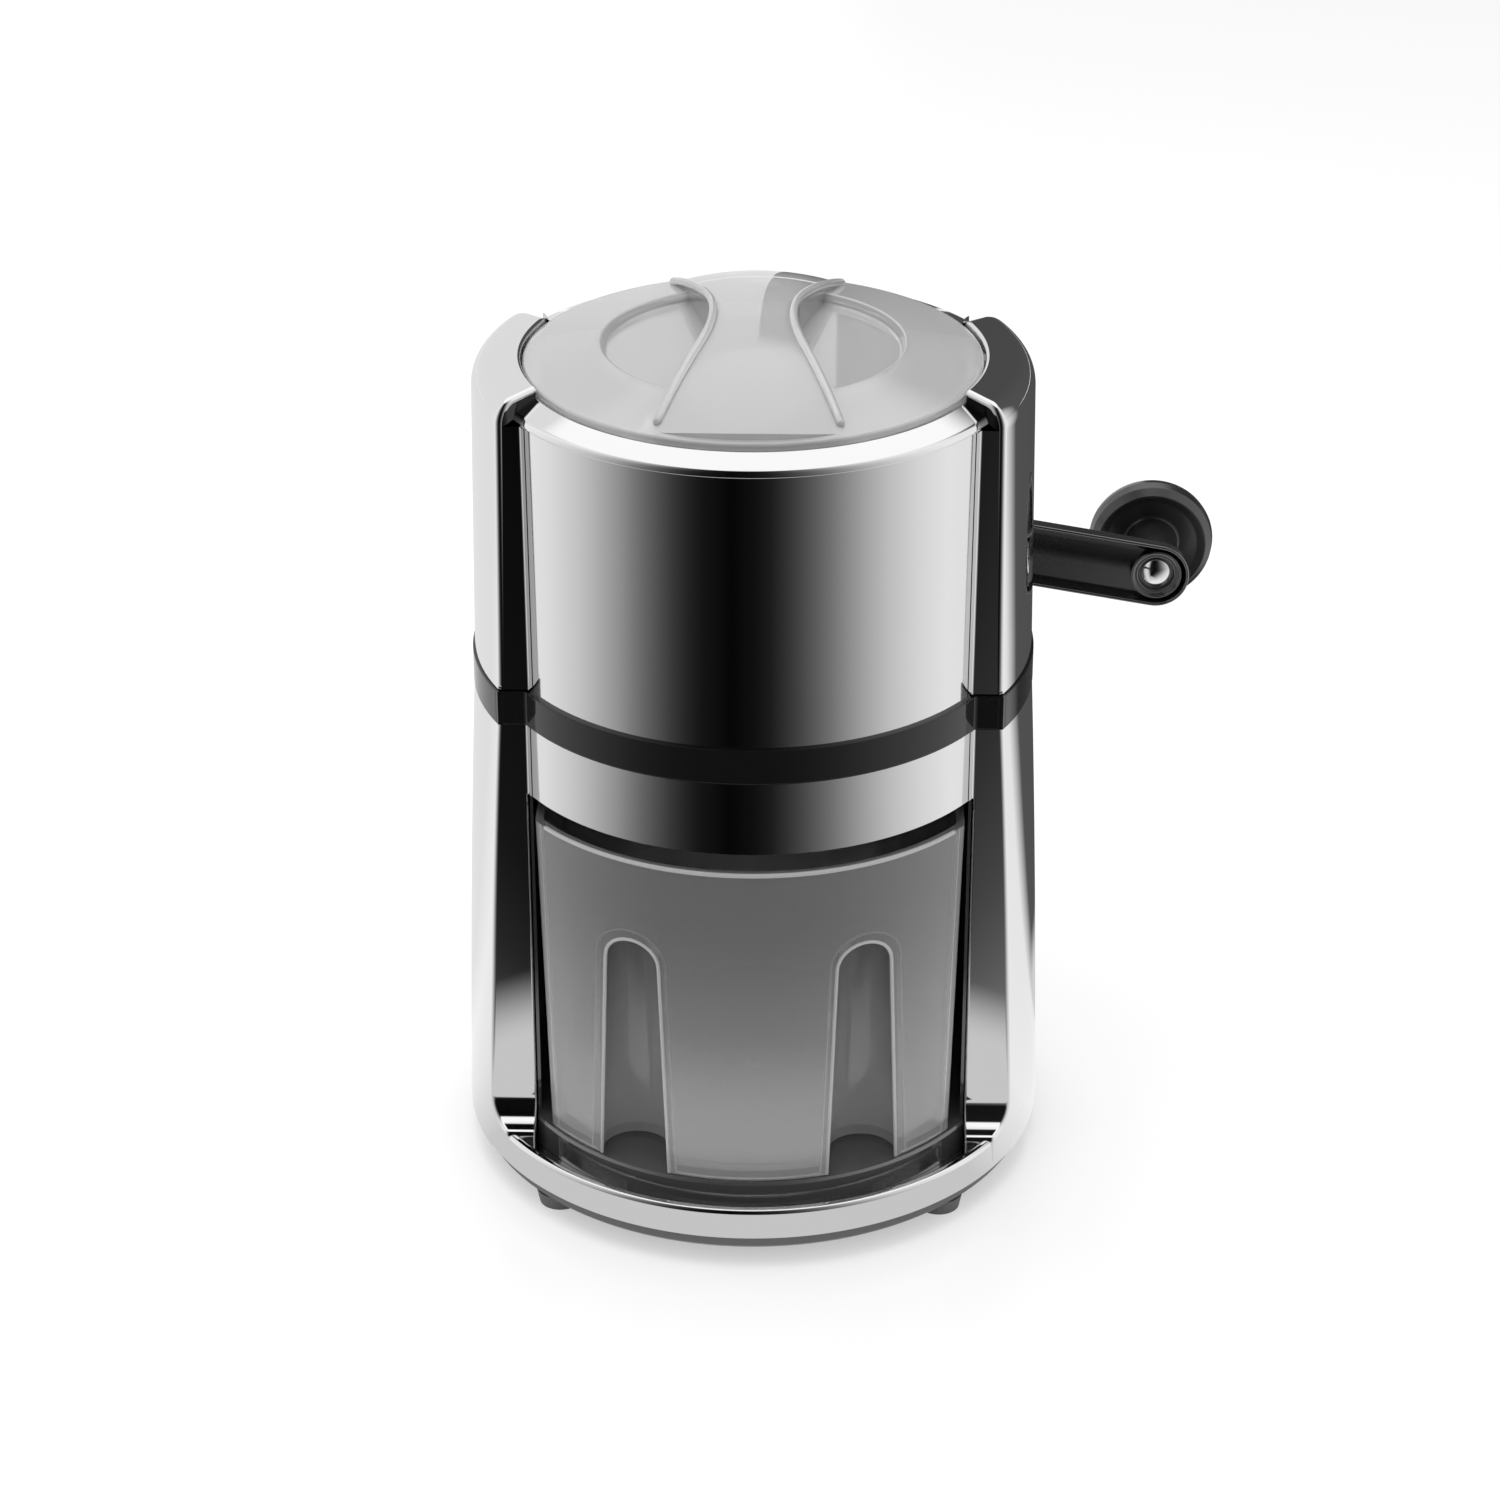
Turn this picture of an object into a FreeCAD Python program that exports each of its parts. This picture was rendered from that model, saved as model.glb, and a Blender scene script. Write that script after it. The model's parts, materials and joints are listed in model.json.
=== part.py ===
import FreeCAD, Part
import math
import os
import Sketcher
from FreeCAD import Rotation, Vector

# Hand crank ice crusher: a chromed two-piece housing with a lift-off lid, a hopper,
# a toothed rotor turned by a crank at the back, and a drawer for the crushed ice.
# Millimetres. +Z is up, the drawer faces -Y, the crank is at +Y and points to +X.
# The origin is on the housing's axis, in the plane that the feet stand on.

doc = FreeCAD.newDocument("IceCrusher")
sheet = doc.addObject("Spreadsheet::Sheet", "Sizes")


class Size:
    """A length with its number and the expression that the document keeps for it."""

    def __init__(self, value, text):
        self.value = float(value)
        self.text = text

    def __add__(self, other):
        other = size_of(other)
        return Size(self.value + other.value, f"({self.text} + {other.text})")

    def __radd__(self, other):
        return size_of(other) + self

    def __sub__(self, other):
        other = size_of(other)
        return Size(self.value - other.value, f"({self.text} - {other.text})")

    def __rsub__(self, other):
        return size_of(other) - self

    def __mul__(self, other):
        other = size_of(other)
        return Size(self.value * other.value, f"({self.text} * {other.text})")

    def __rmul__(self, other):
        return size_of(other) * self

    def __truediv__(self, other):
        other = size_of(other)
        return Size(self.value / other.value, f"({self.text} / {other.text})")

    def __neg__(self):
        return Size(-self.value, f"(0 - {self.text})")


def size_of(number):
    if isinstance(number, Size):
        return number
    return Size(number, f"({float(number)!r})")


def root(number):
    return Size(math.sqrt(number.value), f"sqrt({number.text})")


def keep_sizes(names):
    """Moves each driving dimension into the sheet, and ties its name to the sheet's cell."""
    driving = [(name, value) for name, value in names.items() if isinstance(value, float)]
    for row, (name, value) in enumerate(driving, 1):
        sheet.set(f"A{row}", name)
        sheet.set(f"B{row}", str(value))
        sheet.setAlias(f"B{row}", name)
        names[name] = Size(value, f"Sizes.{name}")


# Driving dimensions: stack of heights, from the feet up
foot_height = 4.0
plate_height = 4.5
ring_height = 8.2
platform_height = 9.9
window_height = 105.1
lintel_height = 19.3
band_height = 9.1
drum_height = 75.0
lid_seat_depth = 4.4

# Driving dimensions: housing outline
ring_radius = 76.0
column_foot_flare = 4.7
column_waist_bow = 0.45
column_band_step = 0.3
column_lean = 1.3
column_top_radius = 69.7
column_half = 34.0
column_shoulder_drop = 4.5
shoulder_run = 5.3
shoulder_rise = 6.5
shoulder_bow = 1.74
column_crown = 2.8
column_nose_half = 24.8
column_nose_x = 51.3
column_flank_x = 60.0
column_edge = 2.6
flank_margin = 5.0
flank_inner_x = 30.0
housing_wall = 2.5
lintel_radius = 65.2
drum_step = 0.8
panel_sheet = 0.8
ledge_slope = 1.6
ledge_nose = 2.4
ledge_round = 1.1
ledge_overhang = 0.4
window_half = 55.9
window_corner = 8.0
rim_width = 3.4
rim_round = 1.0
rim_lean = 1.5
rim_bend = 1.4
trough_floor = 2.0
band_proud = 0.15
band_wall = 6.2
fit_gap = 0.2
press_gap = 0.05
running_gap = 0.05

# Driving dimensions: base and drawer bay
plate_radius = 73.7
plate_bevel = 1.0
foot_x = 49.3
foot_y = 45.5
foot_radius = 6.3
foot_taper = 0.8
foot_peg_radius = 2.4
foot_peg_length = 2.5
platform_radius = 65.7
liner_wall = 1.6
liner_rear_radius = 61.4
bay_edge = 0.6
bay_square_part = 0.75

# Driving dimensions: drawer
drawer_top_drop = 4.9
drawer_front_radius = 66.6
drawer_half = 53.8
drawer_rear_radius = 75.0
drawer_rear_centre = 30.0
drawer_draft = 2.2
drawer_wall = 2.0
drawer_floor_wall = 2.2
drawer_corner = 3.0
corner_share = 0.7
drawer_rear_corner = 13.0
scoop_centre = 29.0
scoop_depth_centre = 50.3
scoop_foot_radius = 8.8
scoop_top_radius = 6.7
scoop_height = 60.6
gate_radius = 1.6
gate_height = 1.0
gate_sink = 0.5
gate_back = 11.0

# Driving dimensions: lid
lid_radius = 57.0
lid_rim_height = 3.6
lid_dome_rise = 4.2
lid_wall = 2.0
lid_edge = 0.8
lid_edge_bend = 1.02
lid_bow = 0.5
well_radius = 37.5
well_depth = 2.5
well_draft = 1.0
grip_waist = 9.9
grip_flare = 24.0
grip_reach = 55.2
grip_arch_rise = 9.9
grip_waist_half = 17.8
grip_waist_bow = 2.7
grip_rise = 7.6
grip_inset = 1.4
bead_out = 0.3
bead_in = 1.3
bead_rise = 0.7
skirt_radius = 51.6
skirt_wall = 1.6
skirt_depth = 6.0

# Driving dimensions: hopper and crushing chamber
hopper_radius = 52.2
hopper_wall = 2.4
hopper_flange = 2.0
throat_half_x = 26.5
throat_half_y = 38.0
funnel_part = 0.7
chamber_wall = 3.5
chamber_height = 59.5
chamber_flange_reach = 7.0
chamber_screw_inset = 6.0
deck_wall = 2.9
boss_radius = 9.0
boss_length = 4.5
boss_inset = 0.5

# Driving dimensions: rotor
axle_lift = 5.0
shaft_radius = 3.0
bush_wall = 1.4
bush_flange_radius = 7.0
bush_flange = 1.5
blade_count = 5
blade_tooth_count = 4
blade_pitch = 14.0
blade_sheet = 4.0
blade_root_radius = 13.0
blade_tip_radius = 22.6
tooth_root = 0.62
tooth_tip_x = 0.995
tooth_tip_low = 0.06
tooth_hook_x = 0.985
tooth_hook_high = 0.12
tooth_heel_x = 0.8
tooth_heel_high = 0.3
spacer_radius = 8.5
comb_sheet = 2.2
comb_height = 26.0
comb_tip = 11.5
comb_tip_below = 3.0
comb_screw_gap = 0.3
circlip_width = 1.0
circlip_groove = 0.6
circlip_reach = 2.4
circlip_half_gap = 1.5
shaft_tip = 1.5

# Driving dimensions: crank and knob
arm_standoff = 1.35
arm_thickness = 6.0
hub_thickness = 9.0
arm_back_round = 2.8
arm_half = 8.9
arm_length = 109.8
arm_drop_degrees = 9.8
arm_rim = 1.1
arm_recess = 3.6
shaft_seat = 6.0
crank_screw_radius = 1.5
crank_screw_length = 12.0
crank_screw_head = 5.0
crank_screw_dome = 3.0
knob_gap = 0.3
knob_radius = 17.2
knob_face_radius = 14.9
knob_stem_radius = 6.9
knob_face = 13.9
knob_belly = 18.6
knob_dish = 19.8
knob_length = 27.5
knob_dish_rise = 3.0
knob_lip = 1.6
knob_back_inset = 2.4
knob_shoulder = 4.6
knob_bow = 0.8
knob_back_bow = 1.2
spindle_radius = 3.0
spindle_head = 3.9
spindle_dome = 2.2
spindle_dish = 0.8
spindle_clinch = 1.4
spindle_clinch_sheet = 0.9
spindle_end_gap = 0.4
eye_radius = 7.2
knob_cap_radius = 7.5
knob_cap_sheet = 2.0
knob_cap_edge = 1.5
knob_cap_rise = 0.8

# Driving dimensions: fasteners
screw_radius = 1.5
screw_head_radius = 3.0
screw_head_height = 2.0
post_radius = 3.6
column_screw_inset = 6.2
column_screw_y = 18.0
base_screw_inset = 8.0
base_screw_y = 12.0
base_screw_bite = 8.0
post_bore_cover = 2.0
base_post_height = 14.0
housing_screw_length = 24.0
comb_screw_y = 30.0

# How far a cutting shape runs past what it cuts
over = 1.0
far_margin = 40.0

keep_sizes(globals())

# Radii that follow from the sheets between the columns and from the columns' top
drum_radius = lintel_radius - drum_step
column_base_radius = column_top_radius + column_lean
column_waist_radius = column_base_radius + column_band_step
column_foot_radius = column_waist_radius + column_foot_flare
column_screw_x = column_top_radius - column_screw_inset
base_screw_x = column_foot_radius - base_screw_inset
band_bore = lintel_radius - band_wall

# Heights above the floor
z_plate = foot_height
z_ring = z_plate + plate_height
z_rim = z_ring + ring_height
z_platform = z_ring + platform_height
z_window_top = z_ring + window_height
z_lintel_top = z_window_top + lintel_height
z_drum = z_lintel_top + band_height
z_ledge = z_drum + drum_height
z_hopper_seat = z_ledge - lid_seat_depth
z_deck = z_window_top + deck_wall
z_axle = z_drum + axle_lift
z_chamber_top = z_deck + chamber_height
z_lid_seat = z_hopper_seat + hopper_flange + fit_gap
z_lid_rim = z_lid_seat + lid_rim_height
z_well_edge = z_lid_rim + lid_dome_rise
z_grip_top = z_well_edge + grip_rise
z_drawer = z_platform + fit_gap
z_drawer_top = z_window_top - drawer_top_drop

nodes = {}


def bind(thing, prop, amount):
    """Ties one property to its expression, or sets it where it is a plain number."""
    if isinstance(amount, Size):
        thing.setExpression(prop, amount.text)
    else:
        setattr(thing, prop, amount)


def put(thing, x=0, y=0, z=0, turn=None):
    if turn is not None:
        thing.Placement.Rotation = turn
    for axis, amount in (("x", x), ("y", y), ("z", z)):
        if isinstance(amount, Size):
            thing.setExpression(f"Placement.Base.{axis}", amount.text)
    base = [size_of(amount).value for amount in (x, y, z)]
    thing.Placement.Base = Vector(*base)
    return thing


def cylinder(name, radius, height, **place):
    thing = doc.addObject("Part::Cylinder", name)
    bind(thing, "Radius", size_of(radius))
    bind(thing, "Height", size_of(height))
    return put(thing, **place)


def cone(name, radius, top_radius, height, **place):
    thing = doc.addObject("Part::Cone", name)
    bind(thing, "Radius1", size_of(radius))
    bind(thing, "Radius2", size_of(top_radius))
    bind(thing, "Height", size_of(height))
    return put(thing, **place)


def ball(name, radius, **place):
    thing = doc.addObject("Part::Sphere", name)
    bind(thing, "Radius", size_of(radius))
    return put(thing, **place)


def block(name, low, high):
    """A box between two corners."""
    thing = doc.addObject("Part::Box", name)
    for prop, start, end in zip(("Length", "Width", "Height"), low, high):
        bind(thing, prop, size_of(end) - size_of(start))
    return put(thing, *low)


def fuse(name, *shapes):
    thing = doc.addObject("Part::MultiFuse", name)
    thing.Shapes = list(shapes)
    thing.Refine = True
    return thing


def cut(name, base, *tools):
    thing = doc.addObject("Part::Cut", name)
    thing.Base = base
    thing.Tool = tools[0] if len(tools) == 1 else fuse(name + "Tools", *tools)
    thing.Refine = True
    return thing


def common(name, base, tool):
    thing = doc.addObject("Part::Common", name)
    thing.Base = base
    thing.Tool = tool
    thing.Refine = True
    return thing


def plane_of(body, role):
    for feature in body.Origin.OriginFeatures:
        if feature.Role == role:
            return feature
    raise RuntimeError(role)


def arc_centre(start, end, radius, turn):
    """Centre of the arc from start to end: turn is +1 for anticlockwise, -1 for clockwise."""
    chord = end - start
    middle = (start + end) * 0.5
    height = math.sqrt(max(radius * radius - chord.Length * chord.Length / 4.0, 0.0))
    side = Vector(-chord.y, chord.x, 0)
    side.normalize()
    return middle + side * (height * turn)


def bowed(x, y, start_x, start_y, bow, turn):
    """An arc to (x, y) from the point before it, given by how far it bows from its chord."""
    run = size_of(x) - start_x
    rise = size_of(y) - start_y
    bow = size_of(bow)
    radius = ((run * run + rise * rise) / 4 + bow * bow) / (2 * bow)
    return (x, y, radius, turn)


def sketch_on(body, role, outline, lift=None):
    """A closed outline of (x, y) points; (x, y, radius, turn) is reached by an arc."""
    sketch = body.newObject("Sketcher::SketchObject", body.Name + "Sketch")
    sketch.AttachmentSupport = [(plane_of(body, role), "")]
    sketch.MapMode = "FlatFace"
    if lift is not None:
        sketch.setExpression("AttachmentOffset.Base.z", size_of(lift).text)
    steps = [tuple(size_of(part) if i < 3 else part for i, part in enumerate(step)) for step in outline]
    corners = [Vector(step[0].value, step[1].value, 0) for step in steps]
    ends = []
    for number, step in enumerate(steps):
        start = corners[number - 1]
        end = corners[number]
        if len(step) == 2:
            index = sketch.addGeometry(Part.LineSegment(start, end), False)
            ends.append((index, 1, 2))
            continue
        radius, turn = step[2], step[3]
        centre = arc_centre(start, end, radius.value, turn)
        first, last = (start, end) if turn > 0 else (end, start)
        angles = [math.atan2(point.y - centre.y, point.x - centre.x) for point in (first, last)]
        circle = Part.Circle(centre, Vector(0, 0, 1), radius.value)
        index = sketch.addGeometry(Part.ArcOfCircle(circle, angles[0], angles[1]), False)
        ends.append((index, 1, 2) if turn > 0 else (index, 2, 1))
        rule = sketch.addConstraint(Sketcher.Constraint("Radius", index, radius.value))
        sketch.setExpression(f"Constraints[{rule}]", radius.text)
    for number, step in enumerate(steps):
        index, _, tail = ends[number]
        follower, head, _ = ends[(number + 1) % len(steps)]
        sketch.addConstraint(Sketcher.Constraint("Coincident", index, tail, follower, head))
        for kind, part in (("DistanceX", step[0]), ("DistanceY", step[1])):
            rule = sketch.addConstraint(Sketcher.Constraint(kind, -1, 1, index, tail, part.value))
            sketch.setExpression(f"Constraints[{rule}]", part.text)
    return sketch


def turned(name, outline):
    """A solid turned about the Z axis from an outline of (radius, height) points."""
    body = doc.addObject("PartDesign::Body", name)
    sketch = sketch_on(body, "XZ_Plane", outline)
    feature = body.newObject("PartDesign::Revolution", name + "Turn")
    feature.Profile = sketch
    feature.ReferenceAxis = (sketch, ["V_Axis"])
    feature.Angle = 360
    return body


def padded(name, role, outline, length, lift=None, midplane=False):
    body = doc.addObject("PartDesign::Body", name)
    sketch = sketch_on(body, role, outline, lift)
    feature = body.newObject("PartDesign::Pad", name + "Pad")
    feature.Profile = sketch
    bind(feature, "Length", size_of(length))
    feature.Midplane = midplane
    return body


def lofted(name, low_outline, high_outline, low, high):
    body = doc.addObject("PartDesign::Body", name)
    first = sketch_on(body, "XY_Plane", low_outline, low)
    second = sketch_on(body, "XY_Plane", high_outline, high)
    feature = body.newObject("PartDesign::AdditiveLoft", name + "Loft")
    feature.Profile = first
    feature.Sections = [second]
    feature.Ruled = True
    return body


def rounded(name, base, radius, chosen):
    """Rounds the edges of base for which chosen(edge) is true."""
    doc.recompute()
    edges = [number + 1 for number, edge in enumerate(base.Shape.Edges) if chosen(edge)]
    if not edges:
        raise RuntimeError(name + " found no edge to round")
    thing = doc.addObject("Part::Fillet", name)
    thing.Base = base
    thing.Edges = [(number, size_of(radius).value, size_of(radius).value) for number in edges]
    return thing


def node(name, thing):
    """Names a finished sub-part."""
    thing.Label = name
    nodes[name] = thing
    return thing


def ring(name, inner, outer, low, high):
    """A plain tube about the Z axis."""
    return turned(name, [(inner, low), (outer, low), (outer, high), (inner, high)])


def along_y(name, radius, start, end, x=0, z=None):
    """A round bar parallel to the axle, from y = start to y = end."""
    lift = z_axle if z is None else z
    return cylinder(name, radius, size_of(end) - start, x=x, y=start, z=lift,
                    turn=Rotation(Vector(1, 0, 0), -90))


def along_x(name, radius, start, end, y, z):
    return cylinder(name, radius, size_of(end) - start, x=start, y=y, z=z, turn=Rotation(Vector(0, 1, 0), 90))


far = ring_radius + far_margin
flange_face = lintel_radius + band_proud + fit_gap
hub_face = flange_face + bush_flange + fit_gap
arm_face = hub_face + arm_standoff
chamber_screw_x = throat_half_x - chamber_screw_inset
chamber_screw_y = throat_half_y + chamber_wall + chamber_flange_reach / 2
lintel_sheet_back = lintel_radius - panel_sheet
drum_sheet_back = drum_radius - panel_sheet
lintel_back = lintel_sheet_back - fit_gap
drum_back = drum_sheet_back - fit_gap
wall_back = drum_back - housing_wall
lintel_inside = lintel_back - housing_wall


def base_parts():
    """Grey base plate, its four rubber feet and its screws."""
    plate = turned("PlateDisc", [
        (0, z_plate),
        (plate_radius - plate_bevel, z_plate),
        (plate_radius, z_plate + plate_bevel),
        (plate_radius, z_ring),
        (0, z_ring),
    ])
    holes = []
    screws = []
    for side in (-1, 1):
        for end in (-1, 1):
            place = {"x": side * base_screw_x, "y": end * base_screw_y}
            tag = f"{'Left' if side < 0 else 'Right'}{'Front' if end < 0 else 'Rear'}"
            holes.append(cylinder("PlateHole" + tag, screw_radius + running_gap, far, z=0, **place))
            holes.append(cylinder("PlateSink" + tag, screw_head_radius + fit_gap,
                                  z_plate + screw_head_height, z=0,
                                  **place))
            head = cylinder("BaseHead" + tag, screw_head_radius, screw_head_height, z=z_plate, **place)
            shank = cylinder("BaseShank" + tag, screw_radius, plate_height + base_screw_bite, z=z_plate,
                             **place)
            screws.append(fuse("BaseScrew" + tag, head, shank))
            spot = {"x": side * foot_x, "y": end * foot_y}
            holes.append(cylinder("PegHole" + tag, foot_peg_radius + press_gap, z_plate + foot_peg_length,
                                  z=0,
                                  **spot))
            pad = cone("FootPad" + tag, foot_radius - foot_taper, foot_radius, foot_height, z=0, **spot)
            peg = cylinder("FootPeg" + tag, foot_peg_radius, foot_height + foot_peg_length, z=0, **spot)
            name = f"foot_{'front' if end < 0 else 'rear'}_{'left' if side < 0 else 'right'}"
            node(name, fuse("Foot" + tag, pad, peg))
    node("base_plate", cut("BasePlate", plate, *holes))
    node("base_screws", fuse("BaseScrews", *screws))


def column_profile(name, inset, low, high):
    """The columns' outer form below the band, or its inside when inset by the wall."""
    return turned(name, [
        (0, low),
        (column_foot_radius - inset, low),
        bowed(column_waist_radius - inset, high, column_foot_radius - inset, low, column_waist_bow, 1),
        (0, high),
    ])


def slab(name, half, low, high):
    return block(name, (-far, -half, low), (far, half, high))


def lower_housing():
    """Chromed lower shell: two columns on a ring, a lintel over the drawer window and a deck."""
    outer = common("LowerOuter", column_profile("LowerOuterForm", 0, z_ring, z_lintel_top),
                   slab("LowerOuterSlab", column_half, z_ring, z_lintel_top))
    inner = common("LowerInner", column_profile("LowerInnerForm", housing_wall, z_ring - over,
                                                z_lintel_top - housing_wall),
                   slab("LowerInnerSlab", column_half - housing_wall, z_ring - over, z_lintel_top))
    bay = block("LowerBay", (-window_half, -column_half - over, z_ring - over),
                (window_half, column_half + over, z_window_top))
    outer_soft = rounded("LowerOuterSoft", outer, column_edge, upright_column_edge)
    shells = cut("LowerColumns", outer_soft, inner, bay)
    rim = turned("LowerRing", [
        (platform_radius + fit_gap, z_ring),
        (ring_radius, z_ring),
        (ring_radius - rim_round / 2, z_rim - rim_round),
        (ring_radius - rim_round * rim_lean, z_rim, rim_round * rim_bend, 1),
        (ring_radius - rim_width + rim_round, z_rim),
        (ring_radius - rim_width, z_rim - rim_round, rim_round * rim_bend, 1),
        (ring_radius - rim_width, z_ring + trough_floor),
        (platform_radius + fit_gap, z_ring + trough_floor),
    ])
    rim_space = common("RingColumnSpace", column_profile("RingSpaceForm", housing_wall,
                                                         z_ring + trough_floor, z_rim + over),
                       slab("RingSpaceSlab", column_half - housing_wall, z_ring, z_rim + over))
    open_rim = cut("OpenRing", rim, rim_space)
    wall = ring("LowerWall", lintel_inside, lintel_back, z_ring, z_lintel_top)
    front_gap = block("LowerWindow", (-far, -far, z_ring - over),
                      (far, -column_half + housing_wall, z_window_top))
    mid_gap = block("LowerSides", (-far, -column_half, z_ring - over),
                    (far, column_half - housing_wall, z_lintel_top + over))
    arcs = cut("LowerArcs", wall, front_gap, mid_gap)
    deck = turned("LowerDeck", [
        (0, z_window_top),
        (lintel_back, z_window_top),
        (lintel_back, z_deck),
        (0, z_deck),
    ])
    mouth = block("DeckMouth", (-throat_half_x, -throat_half_y, z_window_top - over),
                  (throat_half_x, throat_half_y, z_deck + over))
    above_deck = cylinder("AboveDeck", band_bore, lintel_height, z=z_deck)
    webs = []
    for end in (-1, 1):
        tag = "Front" if end < 0 else "Rear"
        face = end * column_half
        low_y = face if end > 0 else face - window_corner
        high_y = face + window_corner if end > 0 else face
        prism = block("Web" + tag, (-far, low_y, z_rim - rim_round * 2), (far, high_y, z_rim + window_corner))
        hollow = cylinder("WebHollow" + tag, window_corner, far * 2, x=-far, y=face + end * window_corner,
                          z=z_rim + window_corner, turn=Rotation(Vector(0, 1, 0), 90))
        form = column_profile("WebForm" + tag, rim_round / 4, z_ring, z_lintel_top)
        clear = block("WebClear" + tag, (-window_half, -far, z_ring), (window_half, far, z_lintel_top))
        webs.append(cut("ColumnWeb" + tag, common("WebIn" + tag, prism, form), hollow, clear))
    posts = []
    bores = []
    screws = []
    for side in (-1, 1):
        for end in (-1, 1):
            tag = f"{'Left' if side < 0 else 'Right'}{'Front' if end < 0 else 'Rear'}"
            spot = {"x": side * column_screw_x, "y": end * column_screw_y}
            foot = {"x": side * base_screw_x, "y": end * base_screw_y}
            posts.append(cylinder("BasePost" + tag, post_radius, base_post_height, z=z_ring, **foot))
            bores.append(cylinder("BasePostBore" + tag, screw_radius + press_gap,
                                  base_post_height - post_bore_cover, z=z_ring - over,
                                  **foot))
            top = z_lintel_top - housing_wall
            posts.append(cylinder("LintelPost" + tag, post_radius, post_radius * 2, z=top - post_radius * 2,
                                  **spot))
            bores.append(cylinder("LintelBore" + tag, screw_radius + running_gap, far, z=top - far / 2,
                                  **spot))
            start = top - post_radius * 2
            head = cylinder("HousingHead" + tag, screw_head_radius, screw_head_height,
                            z=start - screw_head_height,
                            **spot)
            shank = cylinder("HousingShank" + tag, screw_radius, housing_screw_length, z=start, **spot)
            screws.append(fuse("HousingScrew" + tag, head, shank))
    for side in (-1, 1):
        for end in (-1, 1):
            tag = f"{'Left' if side < 0 else 'Right'}{'Front' if end < 0 else 'Rear'}"
            bores.append(cylinder("DeckBore" + tag, screw_radius + press_gap, deck_wall + over * 2,
                                  z=z_window_top - over,
                                  x=side * chamber_screw_x, y=end * chamber_screw_y))
    body = fuse("LowerBody", shells, open_rim, arcs, deck, *webs, *posts)
    node("lower_housing", cut("LowerHousing", body, mouth, above_deck, *bores))
    node("housing_screws", fuse("HousingScrews", *screws))


def panel(name, inner, outer, low, high, side):
    """A curved steel sheet between the columns: side is -1 at the front and +1 at the back."""
    sheet_ring = ring(name + "Ring", inner, outer, low, high)
    edge = side * (column_half + fit_gap)
    far_edge = side * far
    clip = block(name + "Clip", (-far, edge if side > 0 else far_edge, low - over),
                 (far, far_edge if side > 0 else edge, high + over))
    return common(name + "Cut", sheet_ring, clip)


def panels():
    """Four steel sheets: front and back, above and below the band."""
    node("lower_front_panel", panel("LowerFront", lintel_sheet_back, lintel_radius, z_window_top,
                                    z_lintel_top, -1))
    node("lower_rear_panel", panel("LowerRear", lintel_sheet_back, lintel_radius, z_ring + trough_floor,
                                   z_lintel_top, 1))
    top = z_ledge - ledge_slope - ledge_nose
    node("upper_front_panel", panel("UpperFront", drum_sheet_back, drum_radius, z_drum, top, -1))
    rear = panel("UpperRear", drum_sheet_back, drum_radius, z_drum, top, 1)
    hole = along_y("UpperRearHole", shaft_radius + bush_wall + fit_gap, 0, far)
    node("upper_rear_panel", cut("UpperRearPanel", rear, hole))


def belt_band():
    """Black band between the two housings, following the columns' outline."""
    round_part = cylinder("BandRound", lintel_radius + band_proud, band_height, z=z_lintel_top)
    lobes = common("BandLobes", cylinder("BandOuter", column_waist_radius + band_proud, band_height,
                                         z=z_lintel_top),
                   slab("BandSlab", column_half + band_proud, z_lintel_top, z_drum))
    bore = cylinder("BandBore", band_bore, band_height + over * 2, z=z_lintel_top - over)
    tools = [bore]
    for side in (-1, 1):
        for end in (-1, 1):
            tag = f"{'Left' if side < 0 else 'Right'}{'Front' if end < 0 else 'Rear'}"
            tools.append(cylinder("BandHole" + tag, screw_radius + running_gap, far, x=side * column_screw_x,
                                  y=end * column_screw_y, z=z_lintel_top - over))
    node("belt_band", cut("BeltBand", fuse("BandBody", round_part, lobes), *tools))


def upper_profile(name, inset, low):
    """The columns' outer form above the band, with the shoulder and the sloped top."""
    shoulder_z = z_ledge - column_shoulder_drop - inset
    return turned(name, [
        (0, low),
        (column_base_radius - inset, low),
        (column_top_radius - inset, shoulder_z),
        bowed(column_top_radius - shoulder_run - inset, shoulder_z + shoulder_rise, column_top_radius - inset,
              shoulder_z, shoulder_bow, 1),
        (lid_radius + fit_gap * 2, z_ledge + column_crown - inset),
        (0, z_ledge + column_crown - inset),
    ])


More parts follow.
